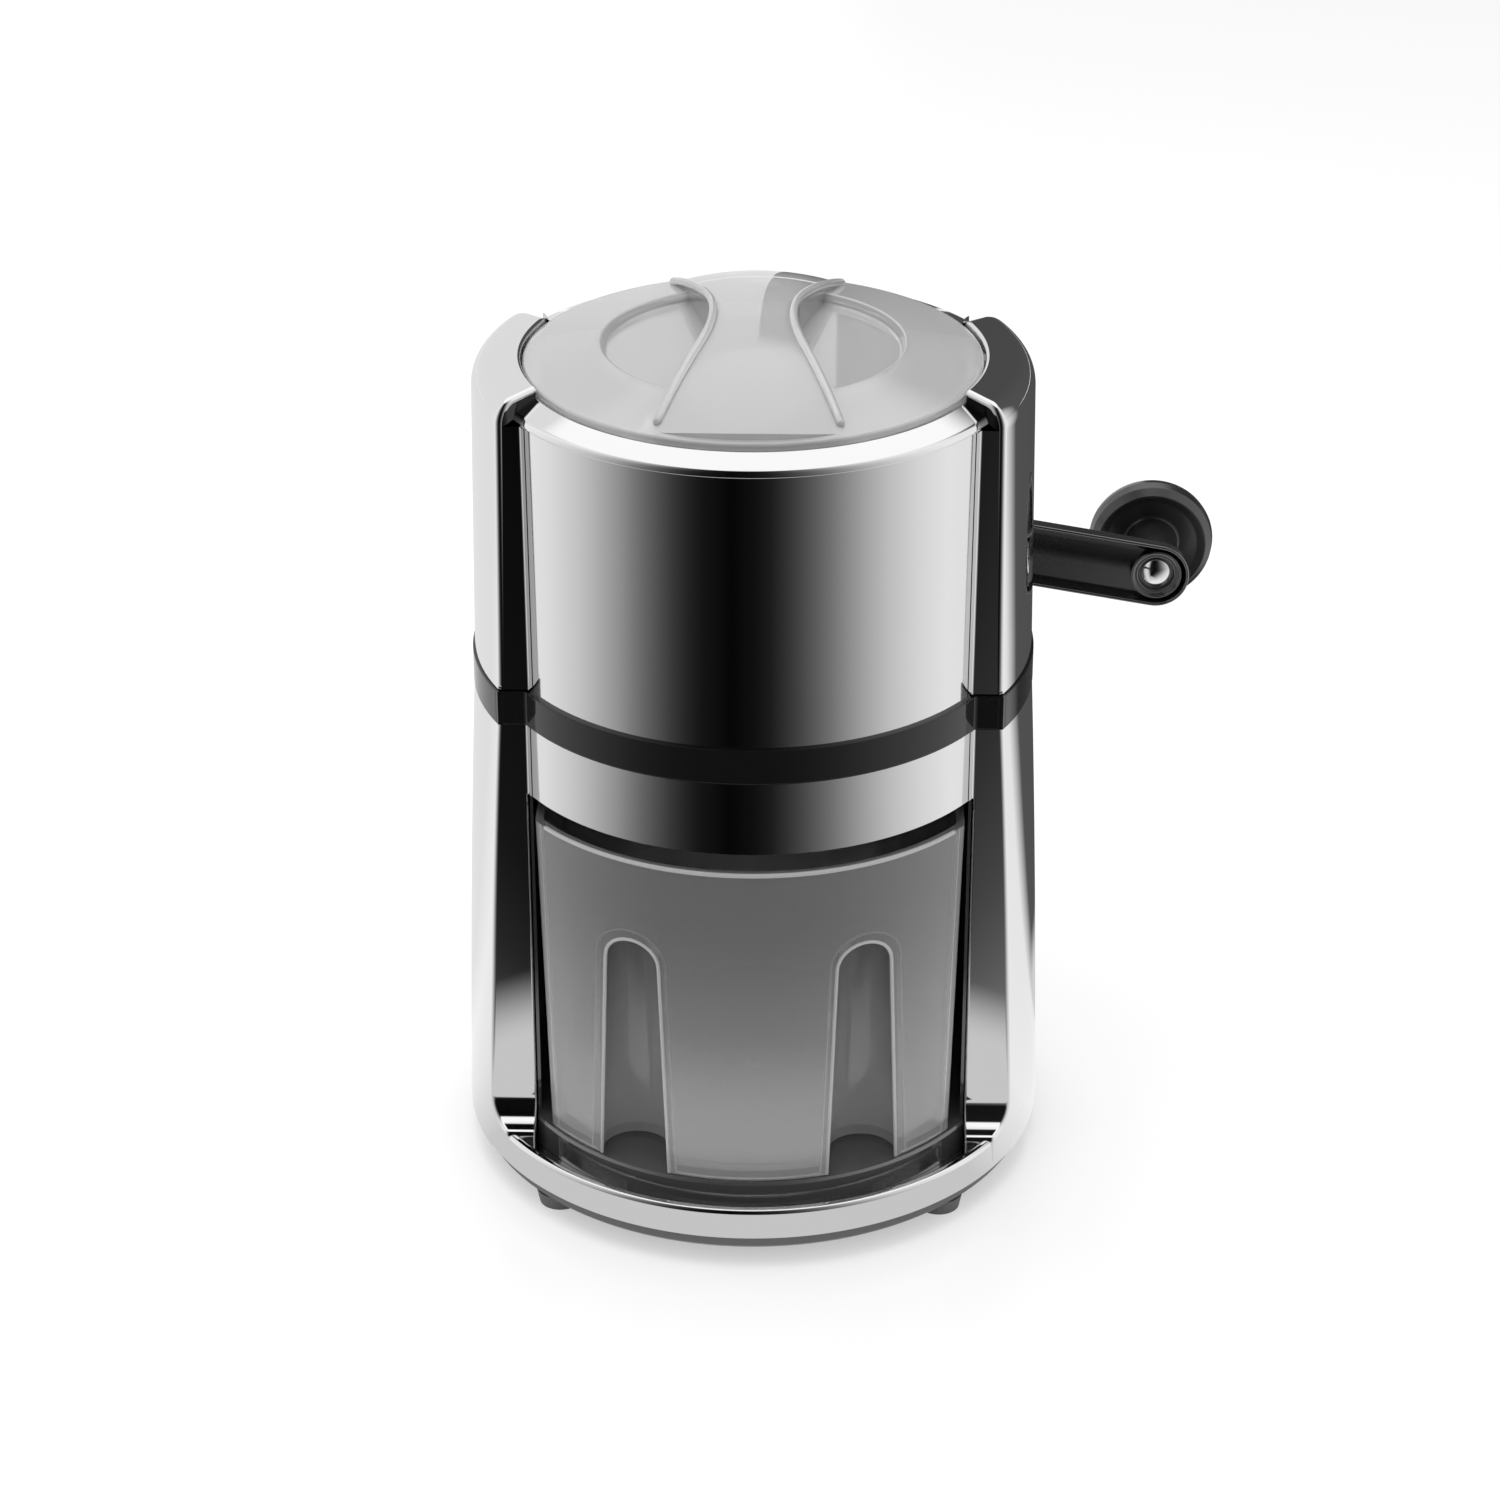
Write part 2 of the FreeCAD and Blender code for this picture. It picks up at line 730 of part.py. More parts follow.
def upper_housing():
    """Chromed upper shell: a drum with two columns and the ring that the lid sits in."""
    outer = common("UpperOuter", upper_profile("UpperOuterForm", 0, z_drum),
                   slab("UpperSlab", column_half, z_drum,
                                                                                 z_ledge + column_crown + over))
    outer_soft = rounded("UpperOuterSoft", outer, column_edge, upright_column_edge)
    flanks = []
    for side in (-1, 1):
        for end in (-1, 1):
            tag = f"{'Left' if side < 0 else 'Right'}{'Front' if end < 0 else 'Rear'}"
            plan = [
                (side * column_flank_x, end * column_half),
                (side * column_flank_x, end * (column_half + flank_margin)),
                (side * flank_inner_x, end * (column_half + flank_margin)),
                (side * flank_inner_x, end * column_nose_half),
                (side * column_nose_x, end * column_nose_half),
            ]
            if side * end < 0:
                plan.reverse()
            flanks.append(padded("Flank" + tag, "XY_Plane", plan, far,
                                 lift=z_ledge - ledge_slope - ledge_nose))
    outer_cut = cut("UpperOuterFlanked", outer_soft, *flanks)
    inner = common("UpperInner", upper_profile("UpperInnerForm", housing_wall, z_drum - over),
                   slab("UpperInnerSlab", column_half - housing_wall, z_drum - over, z_ledge))
    seat_radius = lid_radius + fit_gap * 2
    nose = drum_radius + ledge_overhang
    collar = turned("UpperCollar", [
        (hopper_radius + hopper_wall + fit_gap, z_hopper_seat - housing_wall),
        (drum_back, z_hopper_seat - housing_wall),
        (drum_back, z_ledge - ledge_slope - ledge_nose),
        (nose, z_ledge - ledge_slope - ledge_nose),
        (nose - ledge_nose, z_ledge - ledge_slope, ledge_nose * ledge_round, 1),
        (seat_radius, z_ledge),
        (seat_radius, z_hopper_seat),
        (hopper_radius + hopper_wall + fit_gap, z_hopper_seat),
    ])
    drum = cylinder("UpperDrum", drum_back, z_hopper_seat - z_drum, z=z_drum)
    inside = cylinder("UpperInside", wall_back, z_hopper_seat - housing_wall - z_drum + over, z=z_drum - over)
    mouth = cylinder("UpperMouth", hopper_radius + hopper_wall + fit_gap, far, z=z_drum)
    seat = cylinder("UpperSeat", seat_radius, far, z=z_hopper_seat)
    boss = common("UpperBoss", along_y("UpperBossBar", boss_radius, wall_back - boss_length * 2, drum_back),
                  cylinder("UpperBossLimit", drum_back - boss_inset, drum_height, z=z_drum))
    bore = along_y("UpperBore", shaft_radius + bush_wall + press_gap, 0, far)
    posts = []
    bores = []
    for side in (-1, 1):
        for end in (-1, 1):
            tag = f"{'Left' if side < 0 else 'Right'}{'Front' if end < 0 else 'Rear'}"
            spot = {"x": side * column_screw_x, "y": end * column_screw_y}
            posts.append(cylinder("DrumPost" + tag, post_radius, base_post_height, z=z_drum, **spot))
            bores.append(cylinder("DrumBore" + tag, screw_radius + press_gap,
                                  base_post_height - post_bore_cover, z=z_drum - over,
                                  **spot))
    shell = cut("UpperShell", fuse("UpperSolid", outer_cut, drum), inner, inside, mouth, seat)
    body = fuse("UpperBody", shell, collar, boss, *posts)
    node("upper_housing", cut("UpperHousing", body, bore, *bores))


def upright_column_edge(edge):
    """True for the four long upright edges of the columns."""
    box = edge.BoundBox
    on_face = abs(abs(box.Center.y) - column_half.value) < 2.5
    return on_face and box.ZLength > drum_height.value * 0.5


def drawer_bay():
    """Grey liner that the drawer slides in: a raised floor with side walls and a curved back."""
    half = window_half - fit_gap
    inner_half = half - liner_wall / 2
    inner_radius = liner_rear_radius - liner_wall
    wall_low = z_platform - liner_wall
    wall_top = z_window_top - fit_gap
    front_y = -column_half + housing_wall + fit_gap
    rear_y = column_half - housing_wall - fit_gap
    disc = turned("BayFloor", [
        (0, z_ring),
        (platform_radius, z_ring),
        (platform_radius, z_platform - bay_edge),
        (platform_radius - bay_edge, z_platform),
        (0, z_platform),
    ])
    front_part = common("BayFrontFloor", disc, block("BayFrontClip", (-half, -far, 0), (half, rear_y,
                                                                                        far * 3)))
    rear_part = cylinder("BayRearFloor", liner_rear_radius, platform_height, z=z_ring)
    rear_trim = common("BayRearTrim", rear_part, block("BayRearClip", (-half, 0, 0), (half, far, far * 3)))
    hollow = cylinder("BayHollow", liner_rear_radius - liner_wall, platform_height - liner_wall, z=z_ring)
    side_clip = block("BaySideClip", (-half + liner_wall, -far, 0), (half - liner_wall, far, far * 3))
    plinth = cut("BayPlinth", fuse("BayFloors", front_part, rear_trim),
                 common("BayHollowIn", hollow, side_clip))
    outer_box = block("BayOuterBox", (-half, front_y, wall_low), (half, rear_y * bay_square_part, wall_top))
    outer_round = common("BayOuterRound", cylinder("BayRound", liner_rear_radius, wall_top - wall_low,
                                                   z=wall_low),
                         block("BayRoundClip", (-half, 0, 0), (half, far, far * 3)))
    inner_box = block("BayInnerBox", (-inner_half, -far, z_platform),
                      (inner_half, rear_y * bay_square_part, far * 2))
    inner_round = common("BayInnerRound", cylinder("BayInRound", inner_radius, far * 2, z=z_platform),
                         block("BayInClip", (-inner_half, 0, 0), (inner_half, far, far * 4)))
    walls = cut("BayWalls", fuse("BayOuter", outer_box, outer_round), inner_box, inner_round)
    node("drawer_bay", fuse("DrawerBay", plinth, walls))


def tangent_corner(half, reach, corner, way, bow_centre):
    """Where a corner arc meets a straight side at x = half and a bow of radius reach."""
    centre_x = half - corner
    from_bow = way * root((reach - corner) * (reach - corner) - centre_x * centre_x)
    grow = reach / (reach - corner)
    return bow_centre + from_bow, centre_x * grow, bow_centre + from_bow * grow


def drawer_outline(shrink, wall):
    """Plan of the drawer: bowed front and back between two straight sides, with round corners."""
    half = drawer_half - shrink - wall
    front = drawer_front_radius - shrink - wall
    rear = drawer_rear_radius - shrink - wall
    corner = drawer_corner - wall * corner_share
    rear_corner = drawer_rear_corner - wall
    side_low, front_x, front_y = tangent_corner(half, front, corner, -1, size_of(0))
    side_high, rear_x, rear_y = tangent_corner(half, rear, rear_corner, 1, -drawer_rear_centre)
    return [
        (front_x, front_y, front, 1),
        (half, side_low, corner, 1),
        (half, side_high),
        (rear_x, rear_y, rear_corner, 1),
        (-rear_x, rear_y, rear, 1),
        (-half, side_high, rear_corner, 1),
        (-half, side_low),
        (-front_x, front_y, corner, 1),
    ]


def scoops(name, grow):
    """Two round-topped finger slots in the drawer's front, or their walls when grown."""
    found = []
    low = z_drawer - 1
    tall = scoop_height + 1
    foot = scoop_foot_radius + grow
    top = scoop_top_radius + grow
    for side in (-1, 1):
        tag = name + ("Left" if side < 0 else "Right")
        x = side * scoop_centre
        back = cone("Cone" + tag, foot, top, tall, x=x, y=-scoop_depth_centre, z=low)
        crown = ball("Crown" + tag, top, x=x, y=-scoop_depth_centre, z=low + tall)
        face = padded("Face" + tag, "XZ_Plane", [
            (x - foot, low),
            (x + foot, low),
            (x + top, low + tall),
            (x - top, low + tall),
        ], far, lift=scoop_depth_centre)
        face_top = along_y("FaceTop" + tag, top, -far - scoop_depth_centre, -scoop_depth_centre, x=x,
                           z=low + tall)
        found += [back, crown, face, face_top]
    return found


def drawer():
    """Smoky clear drawer with two finger slots, a gate mark on its floor and an open top."""
    block_out = lofted("DrawerOuter", drawer_outline(drawer_draft, size_of(0)),
                       drawer_outline(size_of(0), size_of(0)),
                       z_drawer, z_drawer_top)
    floor_z = z_drawer + drawer_floor_wall
    inner = lofted("DrawerInner", drawer_outline(drawer_draft, drawer_wall),
                   drawer_outline(size_of(0), drawer_wall),
                   floor_z, z_drawer_top + over)
    cavity = cut("DrawerCavity", inner, *scoops("In", drawer_wall))
    cup = cut("DrawerCup", block_out, cavity, *scoops("Out", size_of(0)))
    gate = cylinder("DrawerGate", gate_radius, gate_height + gate_sink, y=-gate_back, z=floor_z - gate_sink)
    node("drawer", fuse("Drawer", cup, gate))


def grip_outline(inset, reach):
    """Hourglass plan of the lid's handle: a round waist between straight flares."""
    waist = grip_waist - inset
    flare = grip_flare - inset
    neck = waist + grip_waist_bow
    half = grip_waist_half
    return [
        (flare, -reach),
        (neck, -half),
        bowed(neck, half, neck, -half, grip_waist_bow, -1),
        (flare, reach),
        (-flare, reach),
        (-neck, half),
        bowed(-neck, -half, -neck, half, grip_waist_bow, -1),
        (-flare, -reach),
    ]


def lid():
    """Smoky clear lid: a shallow dome with a round well and an arched handle across it."""
    floor_z = z_well_edge - well_depth
    slope_out = lid_radius - lid_edge
    shell = turned("LidShell", [
        (0, floor_z - lid_wall),
        (well_radius + lid_wall / 2, floor_z - lid_wall),
        (well_radius + lid_wall / 2, z_well_edge - lid_wall),
        (lid_radius - lid_wall, z_lid_rim - lid_wall),
        (lid_radius - lid_wall, z_lid_seat),
        (lid_radius, z_lid_seat),
        (lid_radius, z_lid_rim - lid_edge),
        (slope_out, z_lid_rim, lid_edge * lid_edge_bend, 1),
        bowed(well_radius, z_well_edge, slope_out, z_lid_rim, lid_bow, 1),
        (well_radius - well_draft, floor_z),
        (0, floor_z),
    ])
    skirt = ring("LidSkirt", skirt_radius - skirt_wall, skirt_radius, z_lid_seat - skirt_depth, z_lid_rim)
    top = z_grip_top
    arch_radius = (grip_reach * grip_reach + grip_arch_rise * grip_arch_rise) / (2 * grip_arch_rise)
    low = z_lid_rim - lid_wall
    grip_round = cylinder("GripLimit", lid_radius - grip_inset, far, z=low)
    plan = padded("GripPlan", "XY_Plane", grip_outline(size_of(0), grip_reach), far, lift=low)
    arch = along_x("GripArch", arch_radius, -far, far, y=0, z=top - arch_radius)
    grip = common("Grip", common("GripIn", plan, grip_round), arch)
    under_plan = padded("GripUnderPlan", "XY_Plane", grip_outline(lid_wall, grip_reach), far,
                        lift=low - far / 2)
    under_round = cylinder("GripUnderLimit", lid_radius - grip_inset - lid_wall, far * 2, z=low - far / 2)
    under_arch = along_x("GripUnderArch", arch_radius - lid_wall, -far, far, y=0, z=top - arch_radius)
    under = common("GripUnder", common("GripUnderIn", under_plan, under_round), under_arch)
    bead_limit = cylinder("BeadLimit", lid_radius - grip_inset, far, z=low)
    beads = cut("GripBeads", common("BeadsIn", common("BeadPlan", padded(
        "BeadOuter", "XY_Plane", grip_outline(-bead_out, grip_reach), far, lift=low), bead_limit),
        along_x("BeadArch", arch_radius + bead_rise, -far, far, y=0, z=top - arch_radius)),
        padded("BeadInner", "XY_Plane", grip_outline(bead_in, grip_reach + over), far, lift=low))
    whole = fuse("LidWhole", shell, skirt, grip, beads)
    node("lid", cut("Lid", whole, under))


def hopper():
    """Funnel that hangs in the upper housing and leads the cubes to the rotor."""
    z_flange = z_hopper_seat
    outer = cylinder("HopperOuter", hopper_radius + hopper_wall, z_flange - z_chamber_top, z=z_chamber_top)
    flange = cylinder("HopperFlange", lid_radius, hopper_flange, z=z_flange)
    tall = z_flange + hopper_flange - z_chamber_top
    funnel = lofted("HopperFunnel", rectangle(throat_half_x, throat_half_y),
                    rectangle(hopper_radius,
                              hopper_radius), z_chamber_top + hopper_wall, z_chamber_top + tall * funnel_part)
    upper = block("HopperUpper", (-hopper_radius, -hopper_radius, z_chamber_top + tall * funnel_part),
                  (hopper_radius, hopper_radius, z_ledge))
    mouth = block("HopperMouth", (-throat_half_x, -throat_half_y, z_chamber_top - over),
                  (throat_half_x, throat_half_y, z_chamber_top + hopper_wall))
    inside = common("HopperInside", fuse("HopperSpace", funnel, upper, mouth),
                    cylinder("HopperBarrel", hopper_radius, far, z=z_chamber_top - over))
    node("hopper", cut("Hopper", fuse("HopperBody", outer, flange), inside))


def rectangle(half_x, half_y):
    return [(half_x, -half_y), (half_x, half_y), (-half_x, half_y), (-half_x, -half_y)]


def chamber():
    """Crushing chamber with its bushes: it stands on the deck under the hopper."""
    out_x = throat_half_x + chamber_wall
    out_y = throat_half_y + chamber_wall
    shell = block("ChamberShell", (-out_x, -out_y, z_deck), (out_x, out_y, z_chamber_top))
    foot = block("ChamberFoot", (-out_x, -out_y - chamber_flange_reach, z_deck),
                 (out_x, out_y + chamber_flange_reach, z_deck + chamber_wall))
    inside = block("ChamberInside", (-throat_half_x, -throat_half_y, z_deck - over),
                   (throat_half_x, throat_half_y, z_chamber_top + over))
    front_boss = along_y("ChamberFrontBoss", boss_radius, -out_y - boss_length, -out_y)
    rear_boss = along_y("ChamberRearBoss", boss_radius, out_y, out_y + boss_length)
    bore = along_y("ChamberBore", shaft_radius + bush_wall + press_gap, -far, far)
    holes = []
    screws = []
    for side in (-1, 1):
        for end in (-1, 1):
            tag = f"{'Left' if side < 0 else 'Right'}{'Front' if end < 0 else 'Rear'}"
            spot = {"x": side * chamber_screw_x, "y": end * chamber_screw_y}
            holes.append(cylinder("ChamberHole" + tag, screw_radius + running_gap, far, z=z_deck - over,
                                  **spot))
            head = cylinder("ChamberHead" + tag, screw_head_radius, screw_head_height,
                            z=z_deck + chamber_wall, **spot)
            shank = cylinder("ChamberShank" + tag, screw_radius, chamber_wall + deck_wall, z=z_window_top,
                             **spot)
            screws.append(fuse("ChamberScrew" + tag, head, shank))
    for side in (-1, 1):
        for end in (-1, 1):
            tag = f"{'Left' if side < 0 else 'Right'}{'Front' if end < 0 else 'Rear'}"
            start, stop = (-far, -throat_half_x) if side < 0 else (throat_half_x, far)
            holes.append(along_x("CombHole" + tag, screw_radius + running_gap, start, stop,
                                 end * comb_screw_y,
                                 z_axle))
    node("crusher_chamber", cut("Chamber", fuse("ChamberBody", shell, foot, front_boss, rear_boss), inside,
                                bore,
                                *holes))
    node("chamber_screws", fuse("ChamberScrews", *screws))


def bush(name, start, end, flange_at, flange_way):
    """A flanged plain bearing on the axle, from start to end."""
    radius = shaft_radius + bush_wall
    body = along_y(name + "Body", radius, start, end)
    edge = size_of(flange_at)
    low, high = (edge, edge + bush_flange) if flange_way > 0 else (edge - bush_flange, edge)
    collar = along_y(name + "Collar", bush_flange_radius, low, high)
    bore = along_y(name + "Bore", shaft_radius + running_gap, -far, far)
    return cut(name, fuse(name + "Blank", body, collar), bore)


def bushes():
    out_y = throat_half_y + chamber_wall + boss_length
    node("front_bush", bush("FrontBush", -out_y, -throat_half_y, -out_y, -1))
    node("rear_bush", bush("RearBush", throat_half_y, out_y, out_y, 1))
    node("housing_bush", bush("HousingBush", wall_back - boss_length * 2, flange_face, flange_face, 1))


def shaft_ends():
    """Y of the shaft's front end, of the circlip and of the seat at the crank."""
    bush_front = -(throat_half_y + chamber_wall + boss_length) - bush_flange
    clip_back = bush_front - fit_gap
    front = clip_back - circlip_width - shaft_tip
    return front, clip_back, arm_face + shaft_seat


def rotor():
    """Axle with five toothed plates, spacers between them, and a circlip at its front end."""
    front, clip_back, back = shaft_ends()
    bar = along_y("ShaftBar", shaft_radius, front, back)
    groove_out = along_y("GrooveOut", shaft_radius + over, clip_back - circlip_width - running_gap,
                         clip_back + running_gap)
    groove_in = along_y("GrooveIn", shaft_radius - circlip_groove, clip_back - circlip_width * 2,
                        clip_back + over)
    tapped = along_y("ShaftTapped", crank_screw_radius + press_gap, back - crank_screw_length - over * 2,
                     back + over)
    node("rotor_shaft", cut("RotorShaft", bar, cut("Groove", groove_out, groove_in), tapped))
    clip = along_y("ClipRing", shaft_radius + circlip_reach, clip_back - circlip_width, clip_back)
    clip_bore = along_y("ClipBore", shaft_radius - circlip_groove + press_gap, front - over, clip_back + over)
    opening = block("ClipOpening", (-circlip_half_gap, front - over, z_axle - far),
                    (circlip_half_gap, clip_back + over, z_axle))
    node("shaft_circlip", cut("ShaftCirclip", clip, clip_bore, opening))
    first = -(blade_count - 1) / 2
    places = [(first + number) * blade_pitch for number in range(blade_count)]
    for number, place in enumerate(places):
        node(f"rotor_blade_{number + 1}", blade(number, place))
    edge = blade_sheet / 2
    inside = throat_half_y - fit_gap
    starts = [-inside] + [place + edge for place in places]
    ends = [place - edge for place in places] + [inside]
    bounds = list(zip(starts, ends))
    for number, (start, end) in enumerate(bounds):
        tube = along_y(f"SpacerTube{number}", spacer_radius, start, end)
        bore = along_y(f"SpacerBore{number}", shaft_radius + press_gap, -far, far)
        node(f"rotor_spacer_{number + 1}", cut(f"RotorSpacer{number}", tube, bore))


def blade(number, place):
    """One toothed crushing plate: hooked teeth round a hub."""
    tip = blade_tip_radius
    hub = blade_root_radius
    body = doc.addObject("PartDesign::Body", f"Blade{number}")
    disc = body.newObject("Sketcher::SketchObject", f"BladeDisc{number}")
    disc.AttachmentSupport = [(plane_of(body, "XY_Plane"), "")]
    disc.MapMode = "FlatFace"
    for radius in (hub, shaft_radius + press_gap):
        circle = disc.addGeometry(Part.Circle(Vector(0, 0, 0), Vector(0, 0, 1), radius.value), False)
        disc.addConstraint(Sketcher.Constraint("Coincident", circle, 3, -1, 1))
        rule = disc.addConstraint(Sketcher.Constraint("Radius", circle, radius.value))
        disc.setExpression(f"Constraints[{rule}]", radius.text)
    pad = body.newObject("PartDesign::Pad", f"BladeHub{number}")
    pad.Profile = disc
    bind(pad, "Length", blade_sheet)
    tooth = sketch_on(body, "XY_Plane", [
        (hub * tooth_root, hub * -tooth_root),
        (tip * tooth_tip_x, tip * -tooth_tip_low),
        (tip * tooth_hook_x, tip * tooth_hook_high),
        (hub * tooth_heel_x, hub * tooth_heel_high),
    ])
    tooth_pad = body.newObject("PartDesign::Pad", f"BladeTooth{number}")
    tooth_pad.Profile = tooth
    bind(tooth_pad, "Length", blade_sheet)
    pattern = body.newObject("PartDesign::PolarPattern", f"BladeTeeth{number}")
    pattern.Originals = [tooth_pad]
    pattern.Axis = (disc, ["N_Axis"])
    pattern.Angle = 360
    pattern.Occurrences = blade_tooth_count
    body.Tip = pattern
    twist = 360.0 / blade_tooth_count / blade_count * number
    turn = Rotation(Vector(1, 0, 0), -90).multiply(Rotation(Vector(0, 0, 1), twist))
    return put(body, y=place - blade_sheet / 2, z=z_axle, turn=turn)


def combs():
    """Fixed combs on both sides of the rotor, and their screws."""
    screws = []
    for side in (-1, 1):
        tag = "Left" if side < 0 else "Right"
        wall = throat_half_x - fit_gap
        face = wall - comb_sheet
        low = z_axle - comb_height / 2
        high = z_axle + comb_height / 2
        start, stop = (-wall, -face) if side < 0 else (face, wall)
        backing = block("CombBack" + tag, (start, -throat_half_y + over, low),
                        (stop, throat_half_y - over, high))
        fingers = []
        for number in range(blade_count - 1):
            y = (number - (blade_count - 2) / 2) * blade_pitch
            outline = [
                (side * face, low + 1),
                (side * comb_tip, z_axle - comb_tip_below),
                (side * comb_tip, z_axle + over),
                (side * face, high - over),
            ]
            if side < 0:
                outline.reverse()
            finger = padded(f"CombFinger{tag}{number}", "XZ_Plane", outline, blade_sheet,
                            lift=-(y + blade_sheet / 2))
            fingers.append(finger)
        bores = []
        for end in (-1, 1):
            name = tag + ("Front" if end < 0 else "Rear")
            y = end * comb_screw_y
            bores.append(along_x("CombBore" + name, screw_radius + press_gap, -far, far, y, z_axle))
            out = throat_half_x + chamber_wall
            start, stop = (-out, -face - comb_screw_gap) if side < 0 else (face + comb_screw_gap, out)
            shank = along_x("CombShank" + name, screw_radius, start, stop, y, z_axle)
            start, stop = (-out - screw_head_height, -out) if side < 0 else (out, out + screw_head_height)
            head = along_x("CombHead" + name, screw_head_radius, start, stop, y, z_axle)
            screws.append(fuse("CombScrew" + name, shank, head))
        node(f"comb_{tag.lower()}", cut("Comb" + tag, fuse("CombBody" + tag, backing, *fingers), *bores))
    node("comb_screws", fuse("CombScrews", *screws))


def crank_frame(name, *shapes):
    """Turns shapes made along +X at the axle's height down to the crank's place at rest."""
    group = shapes[0] if len(shapes) == 1 else fuse(name, *shapes)
    turn = Rotation(Vector(0, 1, 0), arm_drop_degrees.value)
    centre = Vector(0, 0, z_axle.value)
    group.Placement = FreeCAD.Placement(centre - turn.multVec(centre), turn).multiply(group.Placement)
    return group


def crank():
    """Crank arm with a recessed front face, and the screw that holds it on the axle."""
    back = arm_face + arm_thickness
    hub_back = arm_face + hub_thickness
    arm = bar_between("ArmBar", arm_half, arm_face, back)
    soft = rounded("ArmSoft", arm, arm_back_round,
                   lambda edge: abs(edge.BoundBox.Center.y - back.value) < 0.01)
    recess = bar_between("ArmRecess", arm_half - arm_rim, arm_face - over, arm_face + arm_recess)
    hub = along_y("ArmHub", arm_half, hub_face, hub_back)
    eye = along_y("ArmEye", eye_radius, arm_face + arm_recess / 2, back - over, x=arm_length)
    eye_dish = along_y("ArmEyeDish", spindle_head + spindle_dish, 0, arm_face + arm_recess, x=arm_length)
    _, _, shaft_back = shaft_ends()
    bore = along_y("ArmBore", shaft_radius + press_gap, 0, shaft_back)
    screw_bore = along_y("ArmScrewBore", crank_screw_radius + running_gap, 0, far)
    knob_bore = along_y("ArmKnobBore", spindle_radius + press_gap, 0, far, x=arm_length)
    blank = cut("ArmBlank", soft, recess)
    body = fuse("ArmBody", blank, hub, eye)
    arm_part = cut("CrankArm", body, eye_dish, bore, screw_bore, knob_bore)
    node("crank_arm", crank_frame("CrankArmPlaced", arm_part))
    shank = along_y("CrankScrewShank", crank_screw_radius, shaft_back - crank_screw_length, hub_back)
    head = domed("CrankScrewHead", crank_screw_head, crank_screw_dome, hub_back, 1, size_of(0))
    node("crank_screw", crank_frame("CrankScrew", shank, head))


def bar_between(name, radius, start, end):
    """A bar with round ends, from the axle to the knob's axis, between two Y planes."""
    middle = block(name + "Middle", (0, start, z_axle - radius), (arm_length, end, z_axle + radius))
    near = along_y(name + "Near", radius, start, end)
    away = along_y(name + "Away", radius, start, end, x=arm_length)
    return fuse(name, middle, near, away)


def domed(name, radius, height, base, way, x):
    """A domed head on a plane at y = base, pointing +Y when way is 1."""
    curve = (radius * radius + height * height) / (2 * height)
    head = turned(name, [
        (0, 0),
        (radius, 0),
        (0, height, curve, 1),
    ])
    return put(head, x=x, y=base, z=z_axle, turn=Rotation(Vector(1, 0, 0), -90 * way))


def knob():
    """Mushroom knob that turns on a spindle riveted through the arm's end."""
    start = arm_face + arm_thickness + knob_gap
    back = start + knob_length
    cap_depth = knob_cap_sheet + spindle_dome + 1
    shoulder = knob_belly + knob_shoulder
    form = turned("KnobForm", [
        (0, 0),
        (knob_stem_radius, 0),
        (knob_stem_radius, knob_dish),
        (knob_face_radius - knob_lip, knob_dish - knob_dish_rise),
        (knob_face_radius, knob_face),
        bowed(knob_radius, knob_belly, knob_face_radius, knob_face, knob_bow, 1),
        bowed(knob_radius - knob_back_inset, shoulder, knob_radius, knob_belly, knob_bow, 1),
        bowed(knob_cap_radius, knob_length, knob_radius - knob_back_inset, shoulder, knob_back_bow, 1),
        (0, knob_length),
    ])
    put(form, x=arm_length, y=start, z=z_axle, turn=Rotation(Vector(1, 0, 0), -90))
    bore = along_y("KnobBore", spindle_radius + running_gap, 0, far * 2, x=arm_length)
    pocket = along_y("KnobPocket", knob_cap_radius - knob_cap_edge, back - cap_depth - knob_cap_edge,
                     far * 2, x=arm_length)
    node("knob", crank_frame("KnobPlaced", cut("Knob", form, bore, pocket)))
    end = back - cap_depth
    head_base = arm_face + arm_recess
    shank = along_y("SpindleShank", spindle_radius, head_base, end - spindle_end_gap, x=arm_length)
    front_head = domed("SpindleHead", spindle_head, spindle_dome, head_base, -1, arm_length)
    clinch = along_y("SpindleClinch", spindle_radius + spindle_clinch,
                     end - spindle_end_gap - spindle_clinch_sheet, end - spindle_end_gap, x=arm_length)
    node("knob_spindle", crank_frame("KnobSpindle", shank, front_head, clinch))
    plug = along_y("KnobPlug", knob_cap_radius - knob_cap_edge - press_gap, back - knob_cap_sheet, back,
                   x=arm_length)
    crown = domed("KnobPlugCrown", knob_cap_radius - knob_cap_edge - press_gap * 2, knob_cap_rise, back, 1,
                  arm_length)
    node("knob_cap", crank_frame("KnobCap", plug, crown))


def check_document():
    """Stops where an object failed or a sub-part is empty or broken."""
    doc.recompute()
    failed = [thing.Label for thing in doc.Objects if {"Invalid", "Error"} & set(thing.State)]
    if failed:
        raise RuntimeError("failed objects: " + ", ".join(failed))
    for name, thing in nodes.items():
        shape = thing.Shape
        if shape.isNull() or not shape.isValid() or not shape.Solids:
            raise RuntimeError("broken sub-part: " + name)


def write_parts():
    os.makedirs("parts", exist_ok=True)
    for name, thing in nodes.items():
        thing.Shape.exportStep(f"parts/{name}.step")
        print(name, len(thing.Shape.Solids), round(thing.Shape.Volume))


base_parts()
lower_housing()
panels()
belt_band()
upper_housing()
drawer_bay()
drawer()
lid()
hopper()
chamber()
bushes()
rotor()
combs()
crank()
knob()
check_document()
write_parts()
